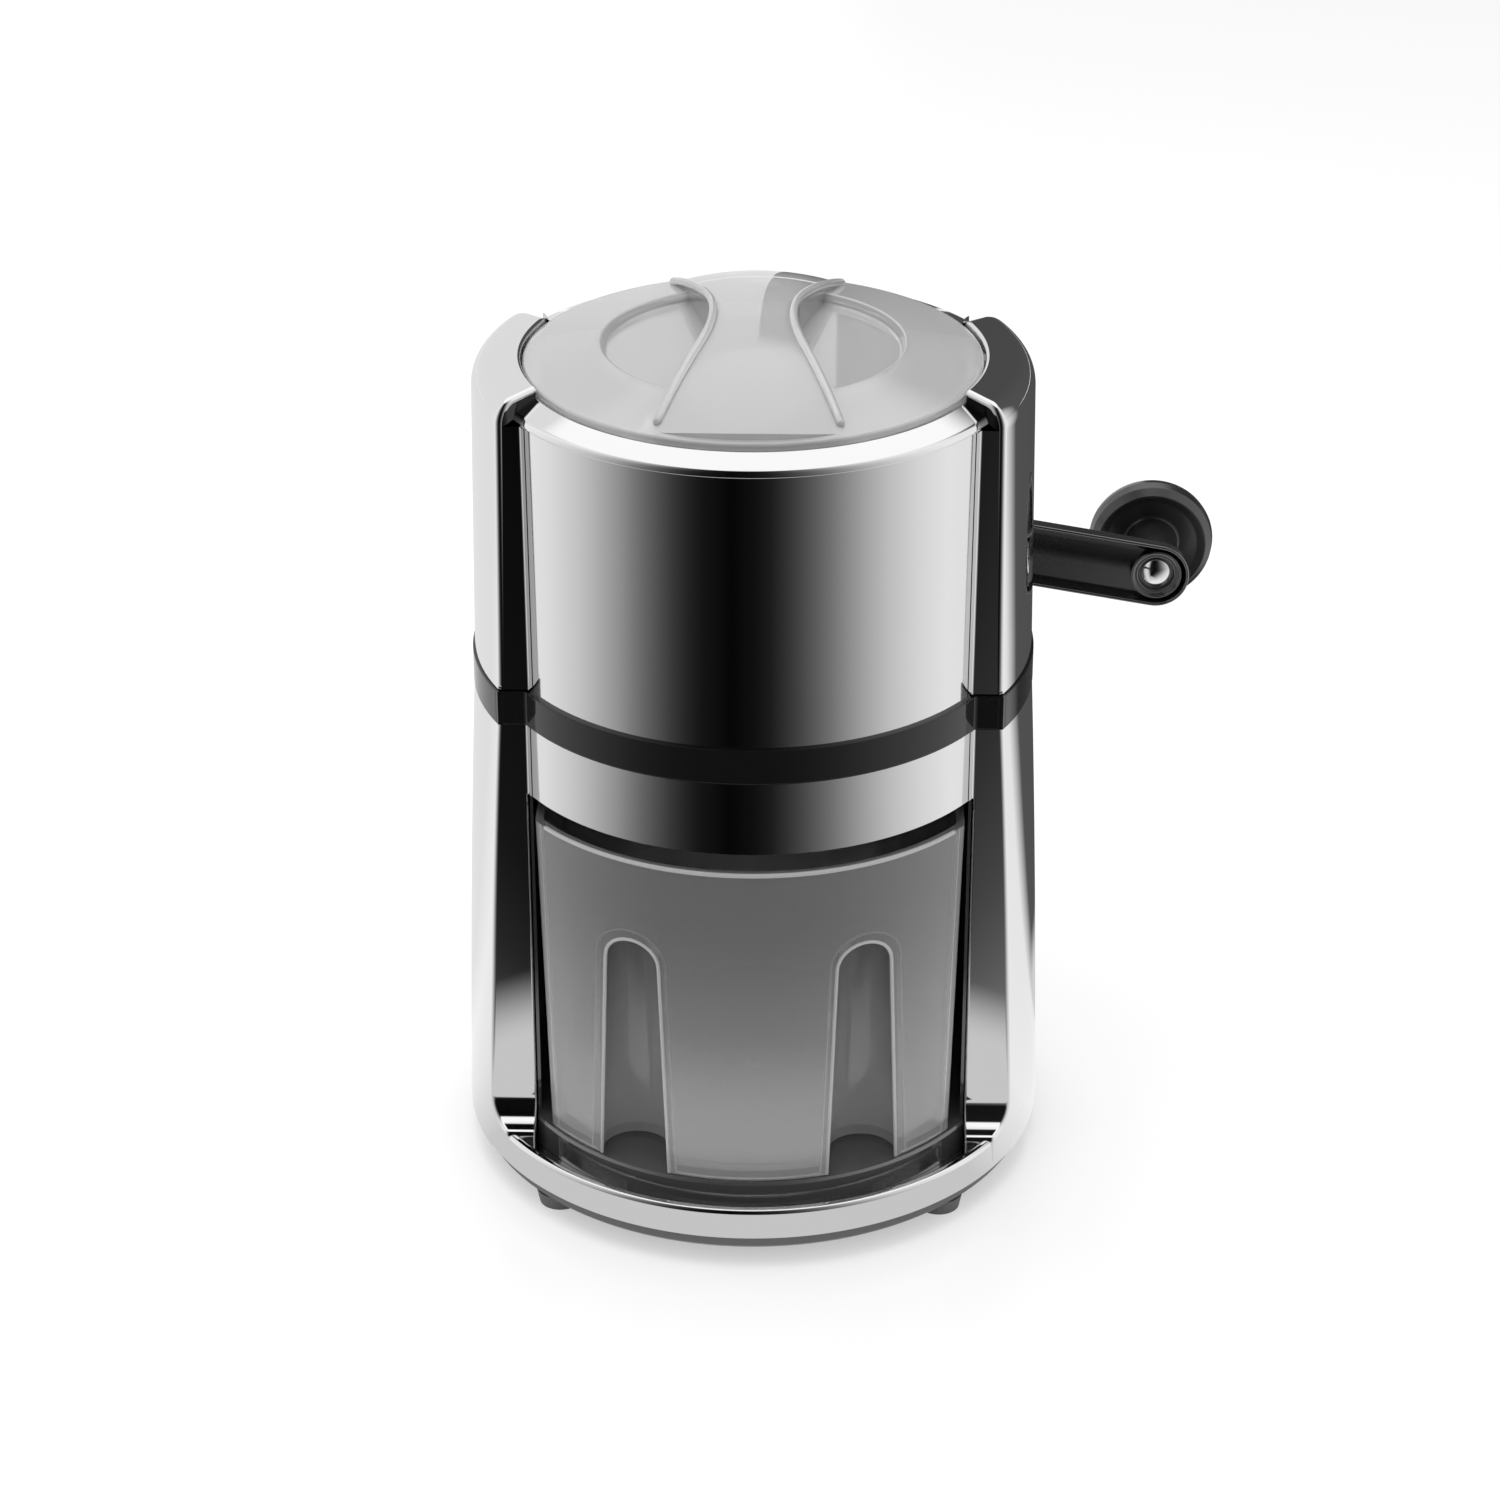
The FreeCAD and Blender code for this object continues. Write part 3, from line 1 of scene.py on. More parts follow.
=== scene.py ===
import json
import math
import bpy
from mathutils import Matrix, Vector


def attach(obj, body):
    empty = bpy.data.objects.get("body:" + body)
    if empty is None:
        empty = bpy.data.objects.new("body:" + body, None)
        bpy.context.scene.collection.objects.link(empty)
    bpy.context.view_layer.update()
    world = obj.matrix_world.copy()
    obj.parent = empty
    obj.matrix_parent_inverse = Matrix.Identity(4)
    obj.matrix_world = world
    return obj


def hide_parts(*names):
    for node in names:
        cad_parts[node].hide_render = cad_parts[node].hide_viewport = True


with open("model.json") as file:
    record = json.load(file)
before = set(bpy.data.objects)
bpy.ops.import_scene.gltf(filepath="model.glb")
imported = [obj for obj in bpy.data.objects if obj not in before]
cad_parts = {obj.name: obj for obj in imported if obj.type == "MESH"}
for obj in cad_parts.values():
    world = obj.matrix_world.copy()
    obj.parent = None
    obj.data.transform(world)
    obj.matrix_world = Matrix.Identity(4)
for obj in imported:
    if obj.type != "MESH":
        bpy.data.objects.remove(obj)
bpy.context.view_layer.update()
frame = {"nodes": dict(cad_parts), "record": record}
mm = 0.001
print("frame loaded:", len(frame["nodes"]), "nodes")

# The camera stands where the photograph was taken from.
cameraLook = {"place": (20.5, -904.0, 571.0), "aim": (0.0, 0.0, 109.1), "lens": 93.98, "shift": -0.0022,
              "sensor": 36.0, "near": 0.01}


def makeCamera():
    data = bpy.data.cameras.new("photoCamera")
    data.lens = cameraLook["lens"]
    data.sensor_width = cameraLook["sensor"]
    data.shift_x = cameraLook["shift"]
    data.clip_start = cameraLook["near"]
    camera = bpy.data.objects.new("photoCamera", data)
    bpy.context.collection.objects.link(camera)
    place = Vector(cameraLook["place"]) * mm
    camera.location = place
    camera.rotation_euler = (Vector(cameraLook["aim"]) * mm - place).to_track_quat("-Z", "Y").to_euler()
    bpy.context.scene.camera = camera
    bpy.context.scene.view_settings.view_transform = "Standard"


makeCamera()


# Small helpers for node trees
def addNode(tree, kind, inputs=None, **settings):
    item = tree.nodes.new(kind)
    for name, value in settings.items():
        setattr(item, name, value)
    for name, value in (inputs or {}).items():
        if isinstance(value, bpy.types.NodeSocket):
            tree.links.new(value, item.inputs[name])
        else:
            item.inputs[name].default_value = value
    return item


def makeGroup(name, inputs, outputs):
    group = bpy.data.node_groups.new(name, "ShaderNodeTree")
    for label, value in inputs.items():
        kind = "NodeSocketColor" if isinstance(value, tuple) else "NodeSocketFloat"
        socket = group.interface.new_socket(name=label, in_out="INPUT", socket_type=kind)
        socket.default_value = value
    for label, kind in outputs.items():
        group.interface.new_socket(name=label, in_out="OUTPUT", socket_type=kind)
    start = group.nodes.new("NodeGroupInput")
    end = group.nodes.new("NodeGroupOutput")
    return group, start, end


def grey(value):
    return (value, value, value, 1.0)


# Handling marks: faint smudges that vary the gloss, and a fine unevenness of the surface
def makeSmudgeGroup():
    group, start, end = makeGroup(
        "handlingMarks",
        {"Base": 0.05, "Amount": 0.05, "Scale": 30.0, "Fine Scale": 900.0},
        {"Roughness": "NodeSocketFloat", "Height": "NodeSocketFloat"})
    spot = addNode(group, "ShaderNodeTexCoord")
    cloud = addNode(group, "ShaderNodeTexNoise", {
        "Vector": spot.outputs["Object"], "Scale": start.outputs["Scale"], "Detail": 4.0, "Roughness": 0.6})
    soft = addNode(group, "ShaderNodeMapRange", {
        "Value": cloud.outputs["Fac"], "From Min": 0.45, "From Max": 0.75})
    rise = addNode(group, "ShaderNodeMath", {0: soft.outputs["Result"], 1: start.outputs["Amount"]},
                   operation="MULTIPLY")
    total = addNode(group, "ShaderNodeMath", {0: rise.outputs[0], 1: start.outputs["Base"]}, operation="ADD")
    fine = addNode(group, "ShaderNodeTexNoise", {"Vector": spot.outputs["Object"],
                                                 "Scale": start.outputs["Fine Scale"], "Detail": 2.0})
    group.links.new(total.outputs[0], end.inputs["Roughness"])
    group.links.new(fine.outputs["Fac"], end.inputs["Height"])
    return group


# Polish lines: very fine streaks along one direction, for rolled or ground steel
def makeStreakGroup():
    group, start, end = makeGroup(
        "polishLines",
        {"Across": 3000.0, "Along": 12.0, "Base": 0.1, "Amount": 0.05},
        {"Roughness": "NodeSocketFloat", "Height": "NodeSocketFloat"})
    spot = addNode(group, "ShaderNodeTexCoord")
    split = addNode(group, "ShaderNodeSeparateXYZ", {"Vector": spot.outputs["Object"]})
    stretched = {}
    for axis, scale in (("X", "Along"), ("Y", "Along"), ("Z", "Across")):
        part = addNode(group, "ShaderNodeMath", {0: split.outputs[axis], 1: start.outputs[scale]},
                       operation="MULTIPLY")
        stretched[axis] = part.outputs[0]
    place = addNode(group, "ShaderNodeCombineXYZ", stretched)
    line = addNode(group, "ShaderNodeTexNoise", {"Vector": place.outputs[0], "Scale": 1.0, "Detail": 3.0})
    rise = addNode(group, "ShaderNodeMath", {0: line.outputs["Fac"], 1: start.outputs["Amount"]},
                   operation="MULTIPLY")
    total = addNode(group, "ShaderNodeMath", {0: rise.outputs[0], 1: start.outputs["Base"]}, operation="ADD")
    group.links.new(total.outputs[0], end.inputs["Roughness"])
    group.links.new(line.outputs["Fac"], end.inputs["Height"])
    return group


# Tone drift: the colour wanders slightly, as moulded plastic does
def makeToneGroup():
    group, start, end = makeGroup(
        "toneDrift",
        {"Color": grey(0.5), "Drift": 0.1, "Scale": 25.0},
        {"Color": "NodeSocketColor"})
    spot = addNode(group, "ShaderNodeTexCoord")
    cloud = addNode(group, "ShaderNodeTexNoise", {
        "Vector": spot.outputs["Object"], "Scale": start.outputs["Scale"], "Detail": 3.0})
    ease = addNode(group, "ShaderNodeMath", {0: cloud.outputs["Fac"], 1: 0.5}, operation="SUBTRACT")
    part = addNode(group, "ShaderNodeMath", {0: ease.outputs[0], 1: start.outputs["Drift"]},
                   operation="MULTIPLY")
    value = addNode(group, "ShaderNodeMath", {0: part.outputs[0], 1: 1.0}, operation="ADD")
    tint = addNode(group, "ShaderNodeHueSaturation", {
        "Color": start.outputs["Color"], "Value": value.outputs[0]})
    group.links.new(tint.outputs["Color"], end.inputs["Color"])
    return group


# Painted light and shade: a moulding coloured paler towards its foot and darker towards its top, between two
# heights
def makeHeightShadeGroup():
    group, start, end = makeGroup(
        "paintedHeightShade",
        {"Low": grey(0.8), "High": grey(0.4), "Foot": 0.02, "Head": 0.1},
        {"Color": "NodeSocketColor"})
    spot = addNode(group, "ShaderNodeTexCoord")
    split = addNode(group, "ShaderNodeSeparateXYZ", {"Vector": spot.outputs["Object"]})
    part = addNode(group, "ShaderNodeMapRange", {
        "Value": split.outputs["Z"], "From Min": start.outputs["Foot"], "From Max": start.outputs["Head"]},
        interpolation_type="SMOOTHSTEP")
    mix = addNode(group, "ShaderNodeMix", {"Factor": part.outputs["Result"]}, data_type="RGBA")
    group.links.new(start.outputs["Low"], mix.inputs[6])
    group.links.new(start.outputs["High"], mix.inputs[7])
    group.links.new(mix.outputs[2], end.inputs["Color"])
    return group


smudges = makeSmudgeGroup()
heightShades = makeHeightShadeGroup()
streaks = makeStreakGroup()
tones = makeToneGroup()


def placeGroup(tree, group, values):
    item = tree.nodes.new("ShaderNodeGroup")
    item.node_tree = group
    for name, value in values.items():
        item.inputs[name].default_value = value
    return item


# Every finish: colour, gloss, and how much its surface varies. A bump is a share of the bump depth,
# which is in metres.
bumpDepth = 0.0002
finishes = {
    "chrome_shell": {"color": 0.86, "metal": 1.0, "rough": 0.035, "vary": 0.04, "bump": 0.004, "drift": 0.02},
    "steel_sheet": {"color": 0.80, "metal": 1.0, "rough": 0.06, "vary": 0.03, "bump": 0.01, "drift": 0.02,
                    "lines": True},
    "black_band": {"color": 0.006, "rough": 0.06, "vary": 0.05, "bump": 0.01, "drift": 0.2},
    "grey_base": {"color": 0.13, "rough": 0.32, "vary": 0.1, "bump": 0.06, "drift": 0.15},
    "foot_rubber": {"color": 0.12, "rough": 0.6, "vary": 0.1, "bump": 0.2, "drift": 0.2},
    # smoky_clear's lowColor is painted light: the drawer's plastic is coloured paler towards its foot and
    # darker towards its top
    "smoky_clear": {"color": 0.46, "lowColor": 0.98, "rough": 0.03, "vary": 0.03, "bump": 0.003,
                    "drift": 0.03, "clear": 0.76, "index": 1.6},
    "bay_gloss": {"color": 0.06, "rough": 0.05, "vary": 0.05, "bump": 0.01, "drift": 0.2, "index": 2.2},
    "lidClear": {"color": 0.80, "rough": 0.02, "vary": 0.03, "bump": 0.003, "drift": 0.02, "clear": 0.62,
                 "index": 1.9},
    # the lips are the drawer's plastic, coloured paler as a painted highlight along the beads
    "lipHighlightClear": {"color": 0.9, "rough": 0.02, "vary": 0.03, "bump": 0.002, "drift": 0.02, "clear": 0.6,
                 "index": 1.7},
    "hopper_grey": {"color": 0.30, "rough": 0.25, "vary": 0.1, "bump": 0.03, "drift": 0.1},
    "chamber_grey": {"color": 0.06, "rough": 0.4, "vary": 0.1, "bump": 0.06, "drift": 0.15},
    "bush_plastic": {"color": 0.5, "rough": 0.35, "vary": 0.1, "bump": 0.03, "drift": 0.08},
    "tool_steel": {"color": 0.55, "metal": 1.0, "rough": 0.22, "vary": 0.12, "bump": 0.04, "drift": 0.05,
                   "lines": True},
    "screw_steel": {"color": 0.6, "metal": 1.0, "rough": 0.22, "vary": 0.1, "bump": 0.03, "drift": 0.05},
    "arm_black": {"color": 0.22, "metal": 0.97, "rough": 0.12, "vary": 0.08, "bump": 0.02, "drift": 0.2},
    "knob_black": {"color": 0.012, "rough": 0.2, "vary": 0.1, "bump": 0.02, "drift": 0.2, "index": 1.8},
    "bright_rivet": {"color": 0.85, "metal": 1.0, "rough": 0.06, "vary": 0.08, "bump": 0.01, "drift": 0.03},
}


def makeFinish(name, look):
    material = bpy.data.materials.new(name)
    material.use_nodes = True
    tree = material.node_tree
    shader = tree.nodes["Principled BSDF"]
    shader.inputs["Metallic"].default_value = look.get("metal", 0.0)
    shader.inputs["IOR"].default_value = look.get("index", 1.49)
    tone = placeGroup(tree, tones, {"Color": grey(look["color"]), "Drift": look["drift"]})
    # painted light and shade by height, for the drawer's clear plastic
    if "lowColor" in look:
        shade = placeGroup(tree, heightShades, {"Low": grey(look["lowColor"]), "High": grey(look["color"])})
        tree.links.new(shade.outputs["Color"], tone.inputs["Color"])
    tree.links.new(tone.outputs["Color"], shader.inputs["Base Color"])
    wear = streaks if look.get("lines") else smudges
    gloss = placeGroup(tree, wear, {"Base": look["rough"], "Amount": look["vary"]})
    tree.links.new(gloss.outputs["Roughness"], shader.inputs["Roughness"])
    bump = addNode(tree, "ShaderNodeBump", {
        "Strength": look["bump"], "Distance": bumpDepth, "Height": gloss.outputs["Height"]})
    tree.links.new(bump.outputs["Normal"], shader.inputs["Normal"])
    shader.inputs["Transmission Weight"].default_value = look.get("clear", 0.0)
    return material


materials = {name: makeFinish(name, look) for name, look in finishes.items()}
print("finishes made:", len(materials))

# The bay is glossier than the other parts of its material.
otherFinish = {"drawer_bay": "bay_gloss"}


def dressNodes():
    for part in frame["record"]["subparts"]:
        node = frame["nodes"][part["node"]]
        material = materials[otherFinish.get(part["node"], part["material_slot"])]
        if not node.material_slots:
            node.data.materials.append(material)
        for slot in node.material_slots:
            slot.material = material


dressNodes()


# Mesh helpers. A skin is a list of points with their normals, and faces between them, in millimetres.
# Faces with less than twice the smallest area are left out, and a turned surface starts just off its axis.
smallest = 1e-6
onAxis = 0.01


def newSkin():
    return {"points": [], "normals": [], "faces": []}


def addGrid(skin, rows, closed=False):
    first = len(skin["points"])
    wide = len(rows[0])
    for row in rows:
        for point, normal in row:
            skin["points"].append(Vector(point))
            skin["normals"].append(Vector(normal).normalized())
    for line in range(len(rows) - 1):
        for step in range(wide if closed else wide - 1):
            a = first + line * wide + step
            b = first + line * wide + (step + 1) % wide
            corners = [a, b, b + wide, a + wide]
            spots = [skin["points"][corner] for corner in corners]
            facing = (spots[2] - spots[0]).cross(spots[3] - spots[1])
            if facing.length < smallest:
                continue
            wanted = sum((skin["normals"][corner] for corner in corners), Vector())
            skin["faces"].append(corners if facing.dot(wanted) > 0 else corners[::-1])


def mirrored(skin, x=1, y=1):
    # a second copy of the skin, mirrored in x or y
    result = newSkin()
    for key in ("points", "normals"):
        result[key] = [Vector((p.x * x, p.y * y, p.z)) for p in skin[key]]
    result["faces"] = [face[::-1] if x * y < 0 else face for face in skin["faces"]]
    return result


def joinSkins(*skins):
    result = newSkin()
    for skin in skins:
        first = len(result["points"])
        result["points"] += skin["points"]
        result["normals"] += skin["normals"]
        result["faces"] += [[first + corner for corner in face] for face in skin["faces"]]
    return result


def makePiece(name, skin, material, slot, body, *replaced):
    mesh = bpy.data.meshes.new(name)
    mesh.from_pydata([point * mm for point in skin["points"]], [], skin["faces"])
    mesh.materials.append(material)
    mesh.shade_smooth()
    mesh.normals_split_custom_set_from_vertices(skin["normals"])
    piece = bpy.data.objects.new(name, mesh)
    bpy.context.collection.objects.link(piece)
    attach(piece, body)
    if replaced:
        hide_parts(*replaced)
    return piece


def softLine(corners, steps=6, closed=False):
    # corners are (x, y, radius); gives (x, y, nx, ny) along the rounded line, normals on its right side
    line = []
    count = len(corners)
    for number, (x, y, radius) in enumerate(corners):
        here = Vector((x, y))
        if not closed and number in (0, count - 1):
            other = Vector(corners[1 if number == 0 else count - 2][:2])
            along = (other - here) if number == 0 else (here - other)
            along.normalize()
            line.append((x, y, along.y, -along.x))
            continue
        before = (here - Vector(corners[number - 1][:2])).normalized()
        after = (Vector(corners[(number + 1) % count][:2]) - here).normalized()
        turn = math.atan2(before.cross(after), before.dot(after))
        reach = radius * math.tan(abs(turn) / 2)
        way = 1 if turn > 0 else -1
        middle = here - before * reach + Vector((-before.y, before.x)) * radius * way
        for step in range(steps + 1):
            angle = turn * step / steps
            side = Vector((before.y, -before.x))
            normal = Vector((side.x * math.cos(angle) - side.y * math.sin(angle),
                             side.x * math.sin(angle) + side.y * math.cos(angle)))
            spot = middle + normal * radius * way
            line.append((spot.x, spot.y, normal.x, normal.y))
    return line


def turnedRows(line, start=0.0, end=360.0, steps=180):
    # rows of a surface turned about the axis, from (radius, height, normals) points
    rows = []
    for step in range(steps if end - start >= 360 else steps + 1):
        angle = math.radians(start + (end - start) * step / steps)
        c, s = math.cos(angle), math.sin(angle)
        rows.append([((r * c, r * s, z), (nr * c, nr * s, nz)) for r, z, nr, nz in line])
    if end - start >= 360:
        rows.append(rows[0])
    return rows


# The chromed columns: an outer wall that turns over a shoulder to the lid, two flat sides, and
# small rounds where they meet. Widths are half widths, heights are above the floor.
column = {"half": 34.0, "edge": 1.4, "frontEdge": 1.3, "rearEdge": 5.0, "footRadius": 76.0,
          "waistRadius": 71.3, "bow": 0.45, "baseRadius": 71.0, "topRadius": 69.7, "shoulderRun": 5.3,
          "shoulderRise": 6.5, "shoulderTurn": 84.7, "topSlope": 0.093, "seatRadius": 57.4, "seatEdge": 0.8,
          "baseEdge": 0.5, "ringEdge": 1.2, "footEdge": 1.0, "flankX": 60.0, "noseX": 51.3, "noseY": 24.8,
          "flankRound": 6.0, "flankStart": 92.0, "noseReach": 7.0, "rootRound": 0.7, "rootLip": 1.5,
          "rootDepth": 0.6, "web": 8.0, "windowX": 55.9, "windowDeep": 6.0, "windowRound": 0.6}
level = {"foot": 8.5, "ringFoot": 8.6, "trough": 10.5, "rim": 16.7, "windowTop": 113.6, "lintelTop": 132.85,
         "drum": 142.05, "shoulder": 212.5, "underLedge": 212.3, "seat": 214.6}
recess = {"drum": 64.4, "lintel": 65.2, "lip": 0.12}


def makeFlank():
    # plan line of the column's side at the top: straight, round the bend, then in to the lid's seat
    bend = Vector((column["flankX"], column["half"]))
    nose = Vector((column["noseX"], column["noseY"]))
    tip = nose + (nose - bend).normalized() * column["noseReach"]
    coarse = softLine([(column["flankStart"], bend.y, 0), (bend.x, bend.y, column["flankRound"]),
                       (tip.x, tip.y, 0)], steps=10)
    fine = []
    for before, after in zip(coarse, coarse[1:]):
        for part in range(16):
            x, y, nx, ny = [a + (b - a) * part / 16 for a, b in zip(before, after)]
            fine.append((Vector((x, y)), Vector((nx, ny)).normalized()))
    return fine


flank = makeFlank()


def ballSpot(reach, radius, side):
    # centre of a ball that touches both the turned wall and the column's side, and the side's normal
    if not isinstance(side, list):
        deep = side - radius
        return Vector((math.sqrt(reach * reach - deep * deep), deep)), Vector((0, 1))
    for (spotA, outA), (spotB, outB) in zip(side, side[1:]):
        a = spotA - outA * radius
        b = spotB - outB * radius
        if a.length >= reach > b.length:
            part = (a.length - reach) / (a.length - b.length)
            return a.lerp(b, part), outA.lerp(outB, part).normalized()
    raise ValueError("the column's side doesn't reach radius " + str(reach))


def sideRound(station, radius, side, way, tilt):
    # the round between the outer wall and one side; way is -1 at the front and 1 at the back
    r, z, nr, nz = station
    middle, out = ballSpot(r - radius * nr, radius, side)
    angle = math.atan2(middle.y, middle.x)
    wall = Vector((nr * math.cos(angle), nr * math.sin(angle), nz)).normalized()
    flat = Vector((out.x * math.cos(tilt), out.y * math.cos(tilt), math.sin(tilt)))
    core = Vector((middle.x, middle.y, z - radius * nz))
    points = []
    for step in range(9):
        normal = flat.slerp(wall, step / 8)
        point = core + normal * radius
        points.append((Vector((point.x, point.y * way, point.z)),
                       Vector((normal.x, normal.y * way, normal.z))))
    return points, angle * way


def columnRow(station, radii, sides, tilt=0.0):
    r, z, nr, nz = station
    front, low = sideRound(station, radii[0], sides[0], -1, tilt)
    rear, high = sideRound(station, radii[1], sides[1], 1, tilt)
    wall = []
    for step in range(1, 48):
        angle = low + (high - low) * step / 48
        c, s = math.cos(angle), math.sin(angle)
        wall.append((Vector((r * c, r * s, z)), Vector((nr * c, nr * s, nz))))
    return front + wall + rear[::-1]


def rootLine(start, half, radius):
    # plan of a column's side from its outer round to the sheet beside it, with a hollow round at its root
    reach = radius + recess["lip"] + column["rootRound"]
    deep = half + column["rootRound"]
    middle = Vector((math.sqrt(reach ** 2 - deep ** 2), deep))
    line = [(Vector((start, half)), Vector((0, 1))), (Vector((middle.x + 2, half)), Vector((0, 1)))]
    turn = Vector((0, 1)).angle_signed(middle.normalized())
    for step in range(7):
        angle = math.pi / 2 - turn * step / 6
        normal = Vector((math.cos(angle), math.sin(angle)))
        line.append((middle - normal * column["rootRound"], normal))
    away = Vector((-middle.y, middle.x)).normalized()
    last = line[-1][0]
    edge = last + away * column["rootLip"]
    outward = middle.normalized()
    line += [(edge, outward), (edge, away), (edge - outward * column["rootDepth"], away)]
    return line


def windowLine(start, half):
    # plan of a column's side from its outer round to the drawer's window
    edge = column["windowX"]
    soft = column["windowRound"]
    line = [(Vector((start, half)), Vector((0, 1)))]
    for step in range(5):
        angle = math.radians(90 + 90 * step / 4)
        normal = Vector((math.cos(angle), math.sin(angle)))
        line.append((Vector((edge + soft, half - soft)) + normal * soft, normal))
    line.append((Vector((edge, column["half"] - column["windowDeep"])), Vector((-1, 0))))
    return line


def sideRows(rows, way, makeLine, tilts=None):
    # flat side of a column, from the touch points of its rows
    result = []
    for number, row in enumerate(rows):
        point, normal = row[0] if way < 0 else row[-1]
        tilt = tilts[number] if tilts else 0.0
        line = makeLine(point.x, abs(point.y))
        result.append([(Vector((spot.x, spot.y * way, point.z)),
                        Vector((out.x, out.y * way * math.cos(tilt), math.sin(tilt) * out.y)))
                       for spot, out in line])
    return result


def upperColumn():
    skin = newSkin()
    slope = (column["topRadius"] - column["baseRadius"]) / (level["shoulder"] - level["drum"])
    soft = column["baseEdge"]
    stations = []
    for step in range(5):
        angle = math.radians(-90 + 90 * step / 4)
        stations.append((column["baseRadius"] - soft + soft * math.cos(angle),
                         level["drum"] + soft + soft * math.sin(angle), math.cos(angle), math.sin(angle)))
    for step in range(1, 7):
        z = level["drum"] + soft + (level["shoulder"] - level["drum"] - soft) * step / 6
        stations.append((column["baseRadius"] + slope * (z - level["drum"]), z, 1.0, -slope))
    wallCount = len(stations)
    run, rise = column["shoulderRun"], column["shoulderRise"]
    centre = column["topRadius"] - run
    for step in range(1, 17):
        angle = math.radians(column["shoulderTurn"] * step / 16)
        stations.append((centre + run * math.cos(angle), level["shoulder"] + rise * math.sin(angle),
                         math.cos(angle) / run, math.sin(angle) / rise))
    r, z = stations[-1][:2]
    inner = column["seatRadius"] + column["seatEdge"]
    fall = column["topSlope"]
    for step in range(1, 6):
        spot = r + (inner - r) * step / 5
        stations.append((spot, z + fall * (r - spot), fall, 1.0))
    peak = stations[-1][1]
    for step in range(1, 7):
        angle = math.radians(column["shoulderTurn"] + (180 - column["shoulderTurn"]) * step / 6)
        stations.append((inner + column["seatEdge"] * math.cos(angle),
                         peak - column["seatEdge"] + column["seatEdge"] * math.sin(angle),
                         math.cos(angle), math.sin(angle)))
    topCount = len(stations)
    stations.append((column["seatRadius"], level["seat"], -1.0, 0.0))
    rows = []
    for number, station in enumerate(stations):
        size = math.hypot(station[2], station[3])
        station = (station[0], station[1], station[2] / size, station[3] / size)
        part = min(max((number - wallCount) / 10, 0.0), 1.0)
        radii = [column["edge"] + (column[name] - column["edge"]) * part
                 for name in ("frontEdge", "rearEdge")]
        rows.append(columnRow(station, radii, (flank, flank)))
    addGrid(skin, rows)

    def sheetLine(x, y):
        return rootLine(x, y, recess["drum"])

    for way in (-1, 1):
        walls = rows[4:wallCount]
        addGrid(skin, sideRows(walls, way, sheetLine))
        foot = walls[-1][0][0].z
        curtain = []
        for row in rows[wallCount - 1:topCount]:
            point, normal = row[0] if way < 0 else row[-1]
            flat = Vector((normal.x * 0.25, normal.y, 0)).normalized()
            curtain.append([(point, flat), (Vector((point.x, point.y, foot)), flat)])
        addGrid(skin, curtain)
    return skin


def lowerColumn():
    skin = newSkin()
    tall = level["lintelTop"] - level["foot"]
    web = column["web"]
    half = column["half"]

    def station(z):
        part = (z - level["foot"]) / tall
        r = column["footRadius"] + (column["waistRadius"] - column["footRadius"]) * part
        r += 4 * column["bow"] * part * (1 - part)
        lean = (column["waistRadius"] - column["footRadius"] + 4 * column["bow"] * (1 - 2 * part)) / tall
        size = math.hypot(1, lean)
        return (r + 0.05, z, 1 / size, -lean / size)

    ringEdge = column["ringEdge"]
    low = [columnRow(station(z), (ringEdge, ringEdge), (half + web, half + web))
           for z in (level["trough"], level["rim"] - 0.5)]
    tilts = [0.0, 0.0]
    for step in range(1, 12):
        turn = math.radians(90 - 90 * step / 11)
        z = level["rim"] + web - web * math.sin(turn)
        wide = half + web - web * math.cos(turn)
        edge = ringEdge + (column["edge"] - ringEdge) * step / 11
        low.append(columnRow(station(z), (edge, edge), (wide, wide), turn))
        tilts.append(turn)
    straight = [low[-1]]
    for step in range(1, 9):
        z = level["rim"] + web + (level["windowTop"] - level["rim"] - web) * step / 8
        straight.append(columnRow(station(z), (column["edge"],) * 2, (half, half)))
    lintel = [straight[-1]]
    for step in range(1, 4):
        z = level["windowTop"] + (level["lintelTop"] - level["windowTop"]) * step / 3
        lintel.append(columnRow(station(z), (column["edge"],) * 2, (half, half)))
    foot = [columnRow(station(z), (column["footEdge"],) * 2, (half, half))
            for z in (level["ringFoot"], level["rim"])]
    for rows in (low, straight, lintel, foot):
        addGrid(skin, rows)

    def sheetLine(x, y):
        return rootLine(x, y, recess["lintel"])

    for way in (-1, 1):
        addGrid(skin, sideRows(low, way, windowLine, tilts))
        addGrid(skin, sideRows(straight, way, windowLine if way < 0 else sheetLine))
        addGrid(skin, sideRows(lintel, way, sheetLine))
    return skin


def bothSides(skin):
    return joinSkins(skin, mirrored(skin, x=-1))


def makeUpperShell():
    collar = newSkin()
    line = softLine([(61.5, level["underLedge"], 0), (64.85, level["underLedge"] + 0.6, 0.5),
                     (64.85, level["seat"], 2.0), (column["seatRadius"], 217.0, 0.5),
                     (column["seatRadius"], level["seat"], 0.3), (53.0, level["seat"], 0)])
    addGrid(collar, turnedRows(line))
    barrel = newSkin()
    line = softLine([(62.0, level["underLedge"] - 0.1, 0), (60.9, 210.0, 0.5), (60.9, level["drum"], 0.3),
                     (63.4, level["drum"], 0.3), (63.4, level["underLedge"], 0)][::-1])
    addGrid(barrel, turnedRows(line))
    skin = joinSkins(bothSides(upperColumn()), collar, barrel)
    makePiece("upperShell", skin, materials["chrome_shell"], "chrome_shell", "housing", "upper_housing")


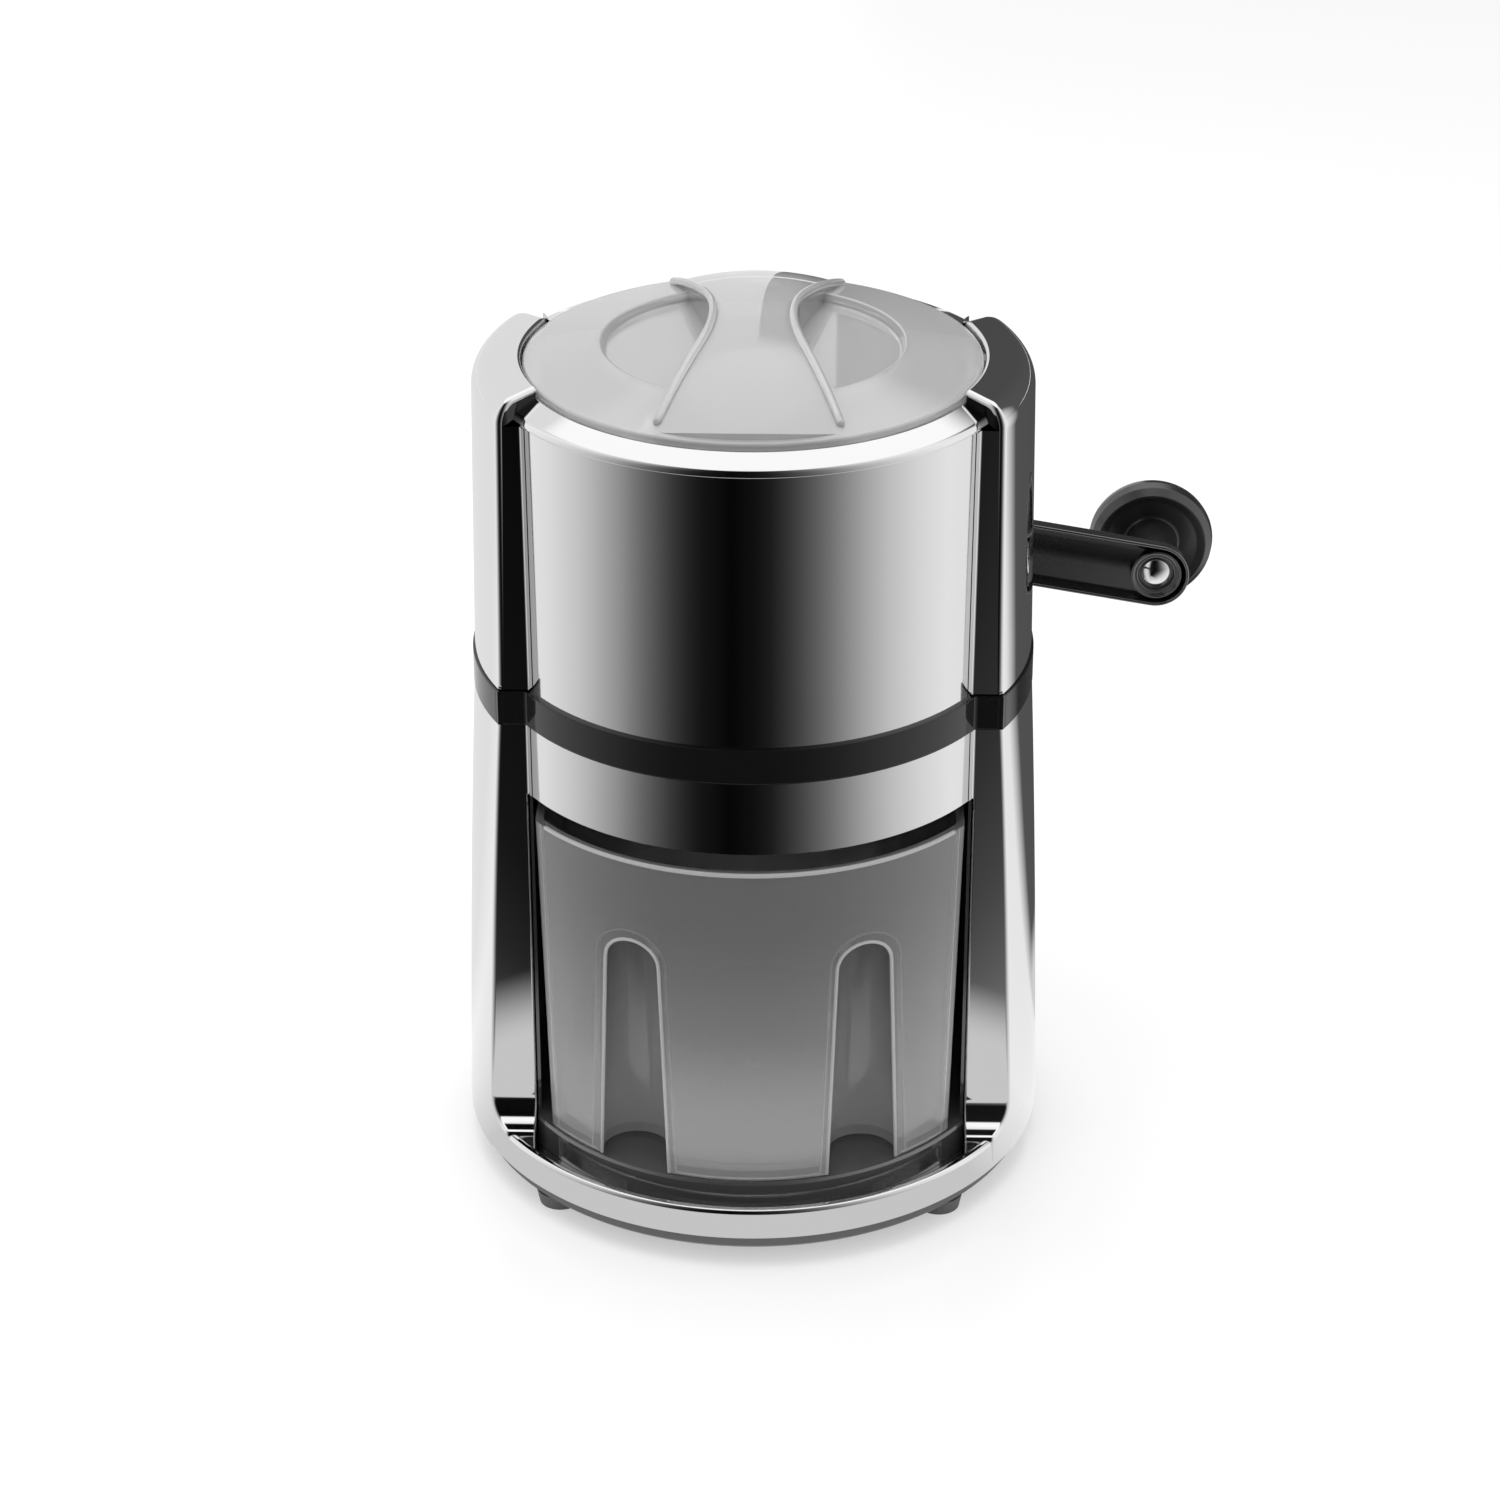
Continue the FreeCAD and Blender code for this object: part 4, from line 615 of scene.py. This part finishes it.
def makeLowerShell():
    ring = newSkin()
    line = softLine([(72.5, 8.55, 0), (column["footRadius"], 8.55, 0.4), (75.55, level["rim"], 1.3),
                     (72.6, level["rim"], 1.3), (72.6, level["trough"], 0.9), (65.8, level["trough"], 0)])
    addGrid(ring, turnedRows(line, steps=240))
    lintel = newSkin()
    edge = math.degrees(math.asin(column["half"] / recess["lintel"])) - 3
    line = softLine([(61.7, level["lintelTop"], 0), (61.7, level["windowTop"], 0.5),
                     (64.2, level["windowTop"], 0.5), (64.2, level["lintelTop"], 0)])
    for start in (180 + edge, edge):
        addGrid(lintel, turnedRows(line, start, start + 180 - 2 * edge, steps=60))
    skin = joinSkins(bothSides(lowerColumn()), ring, lintel)
    makePiece("lowerShell", skin, materials["chrome_shell"], "chrome_shell", "housing", "lower_housing")


makeUpperShell()
makeLowerShell()
print("housing shells made")

# The lid: a shallow clear shell with a round well, and a handle strip between two rails across it
lidShape = {"radius": 57.0, "foot": 214.8, "rim": 218.4, "wellRadius": 37.5, "wellEdge": 222.6,
            "wellFloor": 220.1, "wall": 2.0, "skirtRadius": 50.0, "skirtWall": 1.6, "skirtLow": 208.8,
            "reach": 55.3, "top": 230.0, "arch": 158.8, "crown": 0.0069, "waist": 9.9, "bow": 2.7,
            "waistHalf": 17.8, "flare": 0.305, "sink": 0.6, "rail": 1.05, "railRise": 0.35, "railEnd": 0.93}


def lidHeight(radius):
    # height of the lid's upper face at this distance from the axis
    if radius < lidShape["wellRadius"] - 0.5:
        return lidShape["wellFloor"]
    part = (radius - lidShape["wellRadius"]) / (lidShape["radius"] - 0.8 - lidShape["wellRadius"])
    return lidShape["wellEdge"] + (lidShape["rim"] - lidShape["wellEdge"]) * max(part, 0.0)


def stripHeight(x, y):
    return lidShape["top"] - y * y / (2 * lidShape["arch"]) - lidShape["crown"] * x * x


def stripWidth(y):
    over = abs(y) - lidShape["waistHalf"]
    if over > 0:
        return lidShape["waist"] + lidShape["bow"] + lidShape["flare"] * over
    return lidShape["waist"] + lidShape["bow"] * (y / lidShape["waistHalf"]) ** 2


def stripSpot(along, across):
    # place on the strip: along and across both run from -1 to 1
    x, y = 0.0, lidShape["reach"] * along
    for attempt in range(4):
        x = across * stripWidth(y)
        y = along * math.sqrt(lidShape["reach"] ** 2 - x * x)
    return x, y


def makeStrip():
    skin = newSkin()
    wall = lidShape["wall"]
    rows = []
    for step in range(61):
        along = -1 + step / 30
        row = []
        for number in range(25):
            x, y = stripSpot(along, -1 + number / 12)
            lean = Vector((2 * lidShape["crown"] * x, y / lidShape["arch"], 1))
            row.append((Vector((x, y, stripHeight(x, y))), lean))
        x, y = row[-1][0].x, row[-1][0].y
        foot = lidHeight(math.hypot(x, y)) - lidShape["sink"]
        row += [(Vector((x, y, stripHeight(x, y))), Vector((1, 0, 0))),
                (Vector((x, y, foot)), Vector((1, 0, 0))), (Vector((x - wall, y, foot)), Vector((-1, 0, 0))),
                (Vector((x - wall, y, max(stripHeight(x, y) - wall, foot))), Vector((-1, 0, 0)))]
        for number in range(25):
            x, y = stripSpot(along, 1 - number / 12)
            inner = max(min(x, row[-1][0].x if number == 0 else x), -abs(row[24][0].x) + wall)
            inner = min(inner, abs(row[24][0].x) - wall)
            low = lidHeight(math.hypot(x, y)) - lidShape["sink"]
            row.append((Vector((inner, y, max(stripHeight(x, y) - wall, low))), Vector((0, 0, -1))))
        x, y = row[0][0].x, row[0][0].y
        row += [(Vector((x + wall, y, max(stripHeight(x, y) - wall, foot))), Vector((1, 0, 0))),
                (Vector((x + wall, y, foot)), Vector((1, 0, 0))), (Vector((x, y, foot)), Vector((-1, 0, 0))),
                (Vector((x, y, stripHeight(x, y))), Vector((-1, 0, 0)))]
        rows.append(row)
    addGrid(skin, rows, closed=True)
    for end in (0, -1):
        way = -1 if end == 0 else 1
        front = [(point, Vector((0, way, 0.2))) for point, normal in rows[end][:25]]
        below = []
        for point, normal in front:
            foot = lidHeight(math.hypot(point.x, point.y)) - lidShape["sink"]
            below.append((Vector((point.x, point.y, foot)), normal))
        addGrid(skin, [front, below])
    return skin


def tube(path, radius, sides=12):
    # a round bead along a path, with round ends
    skin = newSkin()
    rows = []
    count = len(path)
    for number, point in enumerate(path):
        along = (path[min(number + 1, count - 1)] - path[max(number - 1, 0)]).normalized()
        side = along.cross(Vector((0, 0, 1)))
        side = side.normalized() if side.length > 0.01 else Vector((1, 0, 0))
        other = along.cross(side)
        turns = [(0.0, 0.0)]
        if number == 0:
            turns = [(-math.pi / 2 + math.pi / 2 * step / 4, 1) for step in range(5)]
        elif number == count - 1:
            turns = [(math.pi / 2 * step / 4, 1) for step in range(5)]
        for turn, cap in turns:
            row = []
            for step in range(sides):
                angle = 2 * math.pi * step / sides
                flat = side * math.cos(angle) + other * math.sin(angle)
                normal = flat * math.cos(turn) + along * math.sin(turn)
                row.append((point + normal * radius, normal))
            rows.append(row)
    addGrid(skin, rows, closed=True)
    return skin


def makeLid():
    shell = newSkin()
    wall = lidShape["wall"]
    out, well = lidShape["radius"], lidShape["wellRadius"]
    foot, rim, edge, floor = [lidShape[name] for name in ("foot", "rim", "wellEdge", "wellFloor")]
    line = softLine([(out - wall, foot, 0), (out, foot, 0.3), (out, rim, 0.9), (well, edge, 0.6),
                     (well - 0.9, floor, 0.7), (onAxis, floor, 0)])
    addGrid(shell, turnedRows(line))
    line = softLine([(onAxis, floor - wall, 0), (well + 0.8, floor - wall, 0.4),
                     (well + 0.8, edge - wall, 0.4), (out - wall, rim - wall, 0.4), (out - wall, foot, 0)])
    addGrid(shell, turnedRows(line))
    skirt = newSkin()
    inner = lidShape["skirtRadius"] - lidShape["skirtWall"]
    outer, low = lidShape["skirtRadius"], lidShape["skirtLow"]
    line = softLine([(inner, 218.2, 0), (inner, low, 0.3), (outer, low, 0.3), (outer, 217.6, 0)])
    addGrid(skirt, turnedRows(line))
    rails = newSkin()
    for across in (-1, 1):
        path = []
        for step in range(61):
            x, y = stripSpot(lidShape["railEnd"] * (-1 + step / 30), across)
            path.append(Vector((x, y, stripHeight(x, y) + lidShape["railRise"])))
        rails = joinSkins(rails, tube(path, lidShape["rail"]))
    skin = joinSkins(shell, skirt, makeStrip(), rails)
    makePiece("lidShell", skin, materials["lidClear"], "smoky_clear", "lid", "lid")


makeLid()
print("lid made")

# The black band: its rounded outline, with fine rounds along both edges
bandShape = {"radius": 65.4, "lobe": 71.5, "half": 34.2, "hollow": 1.5, "round": 2.6, "low": 132.88,
             "high": 142.04, "edge": 0.4, "overlap": 1.5}


def arcPoints(x, y, radius, start, end, steps):
    turns = [start + (end - start) * step / steps for step in range(steps + 1)]
    return [Vector((x + radius * math.cos(turn), y + radius * math.sin(turn))) for turn in turns]


def bandOutline():
    far = bandShape["radius"] + bandShape["hollow"]
    deep = bandShape["half"] + bandShape["hollow"]
    rootX = math.sqrt(far ** 2 - deep ** 2)
    rootTurn = math.atan2(-deep, rootX)
    near = bandShape["lobe"] - bandShape["round"]
    shallow = bandShape["half"] - bandShape["round"]
    edgeX = math.sqrt(near ** 2 - shallow ** 2)
    edgeTurn = math.atan2(-shallow, edgeX)
    quarter = arcPoints(0, 0, bandShape["radius"], -math.pi / 2, rootTurn, 30)
    quarter += arcPoints(rootX, -deep, bandShape["hollow"], rootTurn + math.pi, math.pi / 2, 6)[1:]
    quarter += arcPoints(edgeX, -shallow, bandShape["round"], -math.pi / 2, edgeTurn, 8)
    quarter += arcPoints(0, 0, bandShape["lobe"], edgeTurn, 0, 16)[1:]
    half = quarter + [Vector((spot.x, -spot.y)) for spot in quarter[-2::-1]]
    return half + [Vector((-spot.x, spot.y)) for spot in half[-2:0:-1]]


def makeBand():
    outline = bandOutline()
    count = len(outline)
    sides = []
    for number in range(count):
        along = outline[(number + 1) % count] - outline[number - 1]
        sides.append(Vector((along.y, -along.x)).normalized())
    rows = []
    edge = bandShape["edge"]
    under = -bandShape["overlap"]
    line = softLine([(under, bandShape["low"], 0), (0, bandShape["low"], edge), (0, bandShape["high"], edge),
                     (under, bandShape["high"], 0)])
    for out, z, flat, lift in line:
        rows.append([(Vector((spot.x + side.x * out, spot.y + side.y * out, z)),
                      Vector((side.x * flat, side.y * flat, lift))) for spot, side in zip(outline, sides)])
    skin = newSkin()
    addGrid(skin, rows, closed=True)
    makePiece("bandSkin", skin, materials["black_band"], "black_band", "housing")


makeBand()

# The crank arm: a channel with thin rims, a bulged floor and a boss, seen from the front
arm = {"axle": 147.0, "drop": 9.8, "length": 109.8, "half": 8.9, "front": 68.6, "back": 74.6,
       "rim": 0.85, "edge": 0.4, "backEdge": 2.6, "floor": 72.0, "lean": 0.55, "bulge": 62.0, "boss": 6.9,
       "bossFront": 69.3, "bossWall": 0.7, "dish": 5.0, "head": 3.9, "headRise": 1.3, "headBase": 70.6}
knobShape = {"start": 74.9, "stem": 6.9, "face": 14.8, "band": 16.7, "belly": 17.2, "faceDepth": 13.8,
             "cap": 12.5, "length": 27.5}


def armSpot(along, across, depth):
    turn = math.radians(arm["drop"])
    return Vector((along * math.cos(turn) + across * math.sin(turn), depth,
                   arm["axle"] - along * math.sin(turn) + across * math.cos(turn)))


def armWay(along, across, depth):
    return armSpot(along, across, depth) - armSpot(0, 0, 0)


def armSweep(line):
    # a section of (distance from the middle line, depth), swept round the arm's outline
    rows = []
    stops = [(step * arm["length"] / 12, math.pi / 2) for step in range(13)]
    stops += [(arm["length"], math.pi / 2 - math.pi * step / 24) for step in range(1, 25)]
    stops += [(arm["length"] * (1 - step / 12), -math.pi / 2) for step in range(1, 13)]
    for along, turn in stops:
        c, s = math.cos(turn), math.sin(turn)
        rows.append([(armSpot(along + c * d, s * d, y), armWay(c * nd, s * nd, ny))
                     for d, y, nd, ny in line])
    skin = newSkin()
    addGrid(skin, rows)
    return skin


def aboutKnob(line):
    # a form turned about the knob's axis, from (radius, depth) points
    rows = []
    for step in range(97):
        turn = 2 * math.pi * step / 96
        c, s = math.cos(turn), math.sin(turn)
        rows.append([(armSpot(arm["length"] + c * r, s * r, y), armWay(c * nr, s * nr, ny))
                     for r, y, nr, ny in line])
    skin = newSkin()
    addGrid(skin, rows)
    return skin


def flipped(line):
    return [(r, y, -nr, -ny) for r, y, nr, ny in line]


def facingFront(line):
    # turns the normals of a section so that its flats look to the front
    lean = sum(ny for r, y, nr, ny in line)
    return line if lean < 0 else flipped(line)


def makeArm():
    half, rim, edge = arm["half"], arm["rim"], arm["edge"]
    line = softLine([(onAxis, arm["back"], 0), (half, arm["back"], arm["backEdge"]),
                     (half, arm["front"], edge), (half - rim, arm["front"], edge),
                     (half - rim - arm["lean"], arm["floor"] + 0.6, 0)])
    walls = armSweep(line if line[1][3] >= 0 else flipped(line))
    floor = newSkin()
    rows = []
    for step in range(25):
        along = arm["length"] * step / 24
        row = []
        for part in range(17):
            across = -half + rim + (2 * half - 2 * rim) * part / 16
            rise = max((across + 1) / half, 0.0)
            tilt = math.radians(arm["bulge"]) * min(rise, 1.0) ** 1.3
            row.append((armSpot(along, across, arm["floor"] + rise * rise),
                        armWay(0, math.sin(tilt), -math.cos(tilt))))
        rows.append(row)
    addGrid(floor, rows)
    boss, front = arm["boss"], arm["bossFront"]
    line = softLine([(boss, arm["floor"] + 1.2, 0), (boss, front, 0.3), (boss - arm["bossWall"], front, 0.3),
                     (boss - arm["bossWall"] - 0.2, front + 0.9, 0.3), (arm["dish"], front + 0.9, 0.3),
                     (arm["dish"] - 0.4, arm["headBase"] + 0.8, 0.3), (onAxis, arm["headBase"] + 0.8, 0)])
    skin = joinSkins(walls, floor, aboutKnob(facingFront(line)))
    makePiece("crankArm", skin, materials["arm_black"], "arm_black", "crank", "crank_arm")
    curve = (arm["head"] ** 2 + arm["headRise"] ** 2) / (2 * arm["headRise"])
    dome = []
    for step in range(13):
        turn = math.asin(arm["head"] / curve) * step / 12
        dome.append((max(curve * math.sin(turn), onAxis),
                     arm["headBase"] - arm["headRise"] + curve * (1 - math.cos(turn)),
                     math.sin(turn), -math.cos(turn)))
    dome.append((arm["head"], arm["headBase"] + 1, 1.0, 0.0))
    makePiece("spindleHead", aboutKnob(dome), materials["bright_rivet"], "bright_rivet", "crank")


def makeKnob():
    k = knobShape
    face = k["faceDepth"]
    line = softLine([(k["stem"], 0, 0), (k["stem"], face + 3.5, 1.0), (k["face"] - 2.2, face + 1.6, 0.8),
                     (k["face"], face, 0.4), (k["band"], face + 2.2, 0.5), (k["belly"], face + 5.0, 2.0),
                     (k["belly"] - 0.4, face + 7.5, 1.6), (k["cap"], k["length"] - 1.6, 3.0),
                     (onAxis, k["length"], 0)])
    placed = [(r, k["start"] + y, nr, ny) for r, y, nr, ny in line]
    outward = placed if placed[0][2] > 0 else flipped(placed)
    makePiece("knobCap", aboutKnob(outward), materials["knob_black"], "knob_black", "knob", "knob")


makeArm()
makeKnob()
print("crank made")

# Soft lips on the drawer: along the finger slots, inside and outside, and along its front rim. They are real
# beads, coloured paler than the drawer's own plastic as a painted highlight
lips = {"floor": 18.9, "low": 17.6, "top": 79.2, "foot": 8.8, "crown": 6.7, "centre": 29.0, "front": 66.6,
        "draft": 2.2, "base": 18.6, "height": 90.1, "wall": 2.0, "bead": 0.5, "fine": 0.32,
        "rimHeight": 108.4, "rimSide": 50.9, "rimBead": 0.6, "corner": 51.6, "cornerLean": 2.0,
        "cornerRise": 88.5, "footSide": 49.2, "slotGap": 9.5}


def onFront(x, z, inside=0.0):
    radius = lips["front"] - lips["draft"] * (1 - (z - lips["base"]) / lips["height"]) - inside
    return Vector((x, -math.sqrt(radius * radius - x * x), z))


def slotPath(side, grow, inside):
    path = []
    crown = lips["crown"] + grow
    for step in range(13):
        z = lips["floor"] + (lips["top"] - lips["floor"]) * step / 12
        part = (z - lips["low"]) / (lips["top"] - lips["low"])
        path.append((-(lips["foot"] + (lips["crown"] - lips["foot"]) * part + grow), z))
    for step in range(1, 12):
        turn = math.pi - math.pi * step / 12
        path.append((crown * math.cos(turn), lips["top"] + crown * math.sin(turn)))
    path += [(-x, z) for x, z in path[12::-1]]
    return [onFront(side * lips["centre"] + x, z, inside) for x, z in path]


def makeLips():
    skin = newSkin()
    for side in (-1, 1):
        skin = joinSkins(skin, tube(slotPath(side, 0.1, 0.15), lips["bead"]))
        skin = joinSkins(skin, tube(slotPath(side, lips["wall"], lips["wall"] - 0.1), lips["fine"]))
        edge = [onFront(side * (lips["corner"] - lips["cornerLean"] * (1 - step / 20)),
                        lips["floor"] + lips["cornerRise"] * step / 20, 0.35) for step in range(21)]
        skin = joinSkins(skin, tube(edge, lips["fine"]))
    rim = [onFront(lips["rimSide"] * (-1 + step / 30), lips["rimHeight"], 0.2) for step in range(61)]
    skin = joinSkins(skin, tube(rim, lips["rimBead"]))
    foot = [onFront(lips["footSide"] * (-1 + step / 30), lips["floor"] + 0.3, 0.3) for step in range(61)]
    foot = [spot for spot in foot if abs(abs(spot.x) - lips["centre"]) > lips["slotGap"]]
    centre = lips["centre"]
    for low, high in ((-lips["footSide"], -centre), (-centre, centre), (centre, lips["footSide"])):
        part = [spot for spot in foot if low - smallest < spot.x < high + smallest]
        skin = joinSkins(skin, tube(part, lips["fine"]))
    makePiece("drawerLips", skin, materials["lipHighlightClear"], "smoky_clear", "drawer")


makeLips()
print("drawer lips made")

# Studio: a white floor and white surroundings. What mirrors them sees dark and light cards around
# the object: each step is an angle round it in degrees, zero in front, and a brightness.
studio = {"floorSize": 6.0, "floorTone": 0.93, "floorRough": 0.18, "floorGloss": 0.35, "nearFrom": 0.120,
          "nearTo": 0.160, "nearLight": 0.64, "fill": 0.9, "seen": 1.0, "highFrom": 0.80, "highTo": 0.90,
          "highLight": 1.1, "highLean": 0.35, "glow": 1.0, "glowPart": 0.45}
cards = [(-180, 0.8), (-124, 0.82), (-111, 0.95), (-95, 0.87), (-80, 0.71), (-72, 0.6), (-64, 0.47),
         (-55, 0.33), (-50, 0.24), (-44, 0.155), (-38, 0.095), (-32, 0.048), (-26, 0.022), (-20, 0.009),
         (-8, 0.002), (2, 0.006), (8.5, 0.014), (14, 0.034), (20, 0.068), (26, 0.12), (32, 0.185),
         (38, 0.275), (43, 0.36), (49, 0.46), (60, 0.64), (75, 0.82), (91, 0.94), (118, 0.88), (128, 0.09),
         (180, 0.07)]


def makeCardGroup():
    group = bpy.data.node_groups.new("lightCards", "ShaderNodeTree")
    group.interface.new_socket(name="Direction", in_out="INPUT", socket_type="NodeSocketVector")
    group.interface.new_socket(name="Color", in_out="OUTPUT", socket_type="NodeSocketColor")
    start = group.nodes.new("NodeGroupInput")
    end = group.nodes.new("NodeGroupOutput")
    split = addNode(group, "ShaderNodeSeparateXYZ", {"Vector": start.outputs["Direction"]})
    forward = addNode(group, "ShaderNodeMath", {0: split.outputs["Y"], 1: -1.0}, operation="MULTIPLY")
    angle = addNode(group, "ShaderNodeMath", {0: split.outputs["X"], 1: forward.outputs[0]},
                    operation="ARCTAN2")
    part = addNode(group, "ShaderNodeMapRange", {
        "Value": angle.outputs[0], "From Min": -math.pi, "From Max": math.pi})
    ramp = addNode(group, "ShaderNodeValToRGB", {"Fac": part.outputs["Result"]})
    steps = ramp.color_ramp.elements
    steps.remove(steps[1])
    steps[0].position = 0.0
    steps[0].color = grey(cards[0][1])
    for turn, light in cards[1:]:
        step = steps.new((turn + 180) / 360)
        step.color = grey(light)
    lean = addNode(group, "ShaderNodeMath", {
        0: split.outputs["Y"], 1: studio["highLean"], 2: split.outputs["Z"]}, operation="MULTIPLY_ADD")
    high = addNode(group, "ShaderNodeMapRange", {
        "Value": lean.outputs[0], "From Min": studio["highFrom"], "From Max": studio["highTo"],
        "To Max": studio["highLight"]}, interpolation_type="SMOOTHSTEP")
    tone = addNode(group, "ShaderNodeMix", {"Factor": 1.0}, data_type="RGBA", blend_type="LIGHTEN")
    group.links.new(ramp.outputs["Color"], tone.inputs[6])
    group.links.new(high.outputs["Result"], tone.inputs[7])
    group.links.new(tone.outputs[2], end.inputs["Color"])
    return group


lightCards = makeCardGroup()


def makeWorld():
    world = bpy.data.worlds.new("studio")
    bpy.context.scene.world = world
    world.use_nodes = True
    tree = world.node_tree
    tree.nodes.clear()
    spot = addNode(tree, "ShaderNodeTexCoord")
    around = placeGroup(tree, lightCards, {})
    tree.links.new(spot.outputs["Generated"], around.inputs["Direction"])
    path = addNode(tree, "ShaderNodeLightPath")
    gloss = addNode(tree, "ShaderNodeMix", {"Factor": path.outputs["Is Glossy Ray"]}, data_type="RGBA")
    gloss.inputs[6].default_value = grey(studio["fill"])
    tree.links.new(around.outputs["Color"], gloss.inputs[7])
    seen = addNode(tree, "ShaderNodeMath", {
        0: path.outputs["Is Camera Ray"], 1: path.outputs["Is Transmission Ray"]}, operation="MAXIMUM")
    final = addNode(tree, "ShaderNodeMix", {"Factor": seen.outputs[0]}, data_type="RGBA")
    tree.links.new(gloss.outputs[2], final.inputs[6])
    final.inputs[7].default_value = grey(studio["seen"])
    shader = addNode(tree, "ShaderNodeBackground", {"Color": final.outputs[2]})
    end = addNode(tree, "ShaderNodeOutputWorld")
    tree.links.new(shader.outputs[0], end.inputs["Surface"])


def makeFloor():
    half = studio["floorSize"] / 2
    mesh = bpy.data.meshes.new("floor")
    corners = [(-half, -half, 0), (half, -half, 0), (half, half, 0), (-half, half, 0)]
    mesh.from_pydata(corners, [], [(0, 1, 2, 3)])
    floor = bpy.data.objects.new("floor", mesh)
    bpy.context.collection.objects.link(floor)
    material = bpy.data.materials.new("paleFloor")
    material.use_nodes = True
    tree = material.node_tree
    shader = tree.nodes["Principled BSDF"]
    shader.inputs["Base Color"].default_value = grey(studio["floorTone"])
    shader.inputs["Roughness"].default_value = studio["floorRough"]
    shader.inputs["Specular IOR Level"].default_value = studio["floorGloss"]
    # Seen by glossy rays, the floor glows with painted light: the light cards laid out by position round the
    # middle, and a painted pool of light from nearFrom to nearTo of the middle
    spot = addNode(tree, "ShaderNodeNewGeometry")
    around = placeGroup(tree, lightCards, {})
    tree.links.new(spot.outputs["Position"], around.inputs["Direction"])
    reach = addNode(tree, "ShaderNodeVectorMath", {0: spot.outputs["Position"]}, operation="LENGTH")
    near = addNode(tree, "ShaderNodeMapRange", {
        "Value": reach.outputs["Value"], "From Min": studio["nearFrom"], "From Max": studio["nearTo"],
        "To Min": studio["nearLight"], "To Max": 0.0}, interpolation_type="SMOOTHSTEP")
    tone = addNode(tree, "ShaderNodeMix", {"Factor": 1.0}, data_type="RGBA", blend_type="LIGHTEN")
    tree.links.new(around.outputs["Color"], tone.inputs[6])
    tree.links.new(near.outputs["Result"], tone.inputs[7])
    mirror = addNode(tree, "ShaderNodeEmission", {"Color": tone.outputs[2]})
    path = addNode(tree, "ShaderNodeLightPath")
    glow = addNode(tree, "ShaderNodeEmission", {"Strength": studio["glow"]})
    direct = addNode(tree, "ShaderNodeMath", {0: path.outputs["Is Camera Ray"], 1: studio["glowPart"]},
                     operation="MULTIPLY")
    ground = addNode(tree, "ShaderNodeMixShader", {
        0: direct.outputs[0], 1: shader.outputs[0], 2: glow.outputs[0]})
    mix = addNode(tree, "ShaderNodeMixShader", {
        0: path.outputs["Is Glossy Ray"], 1: ground.outputs[0], 2: mirror.outputs[0]})
    tree.links.new(mix.outputs[0], tree.nodes["Material Output"].inputs["Surface"])
    mesh.materials.append(material)


topLamp = {"place": (-0.15, 0.1, 1.6), "aim": (0, 0, 0.1), "size": 1.4, "power": 16.0}


def makeLamp():
    data = bpy.data.lights.new("topLamp", "AREA")
    data.size = topLamp["size"]
    data.energy = topLamp["power"]
    lamp = bpy.data.objects.new("topLamp", data)
    bpy.context.collection.objects.link(lamp)
    lamp.visible_glossy = False
    lamp.location = topLamp["place"]
    lamp.rotation_euler = (Vector(topLamp["aim"]) - lamp.location).to_track_quat("-Z", "Y").to_euler()


makeWorld()
makeFloor()
makeLamp()
print("studio made")
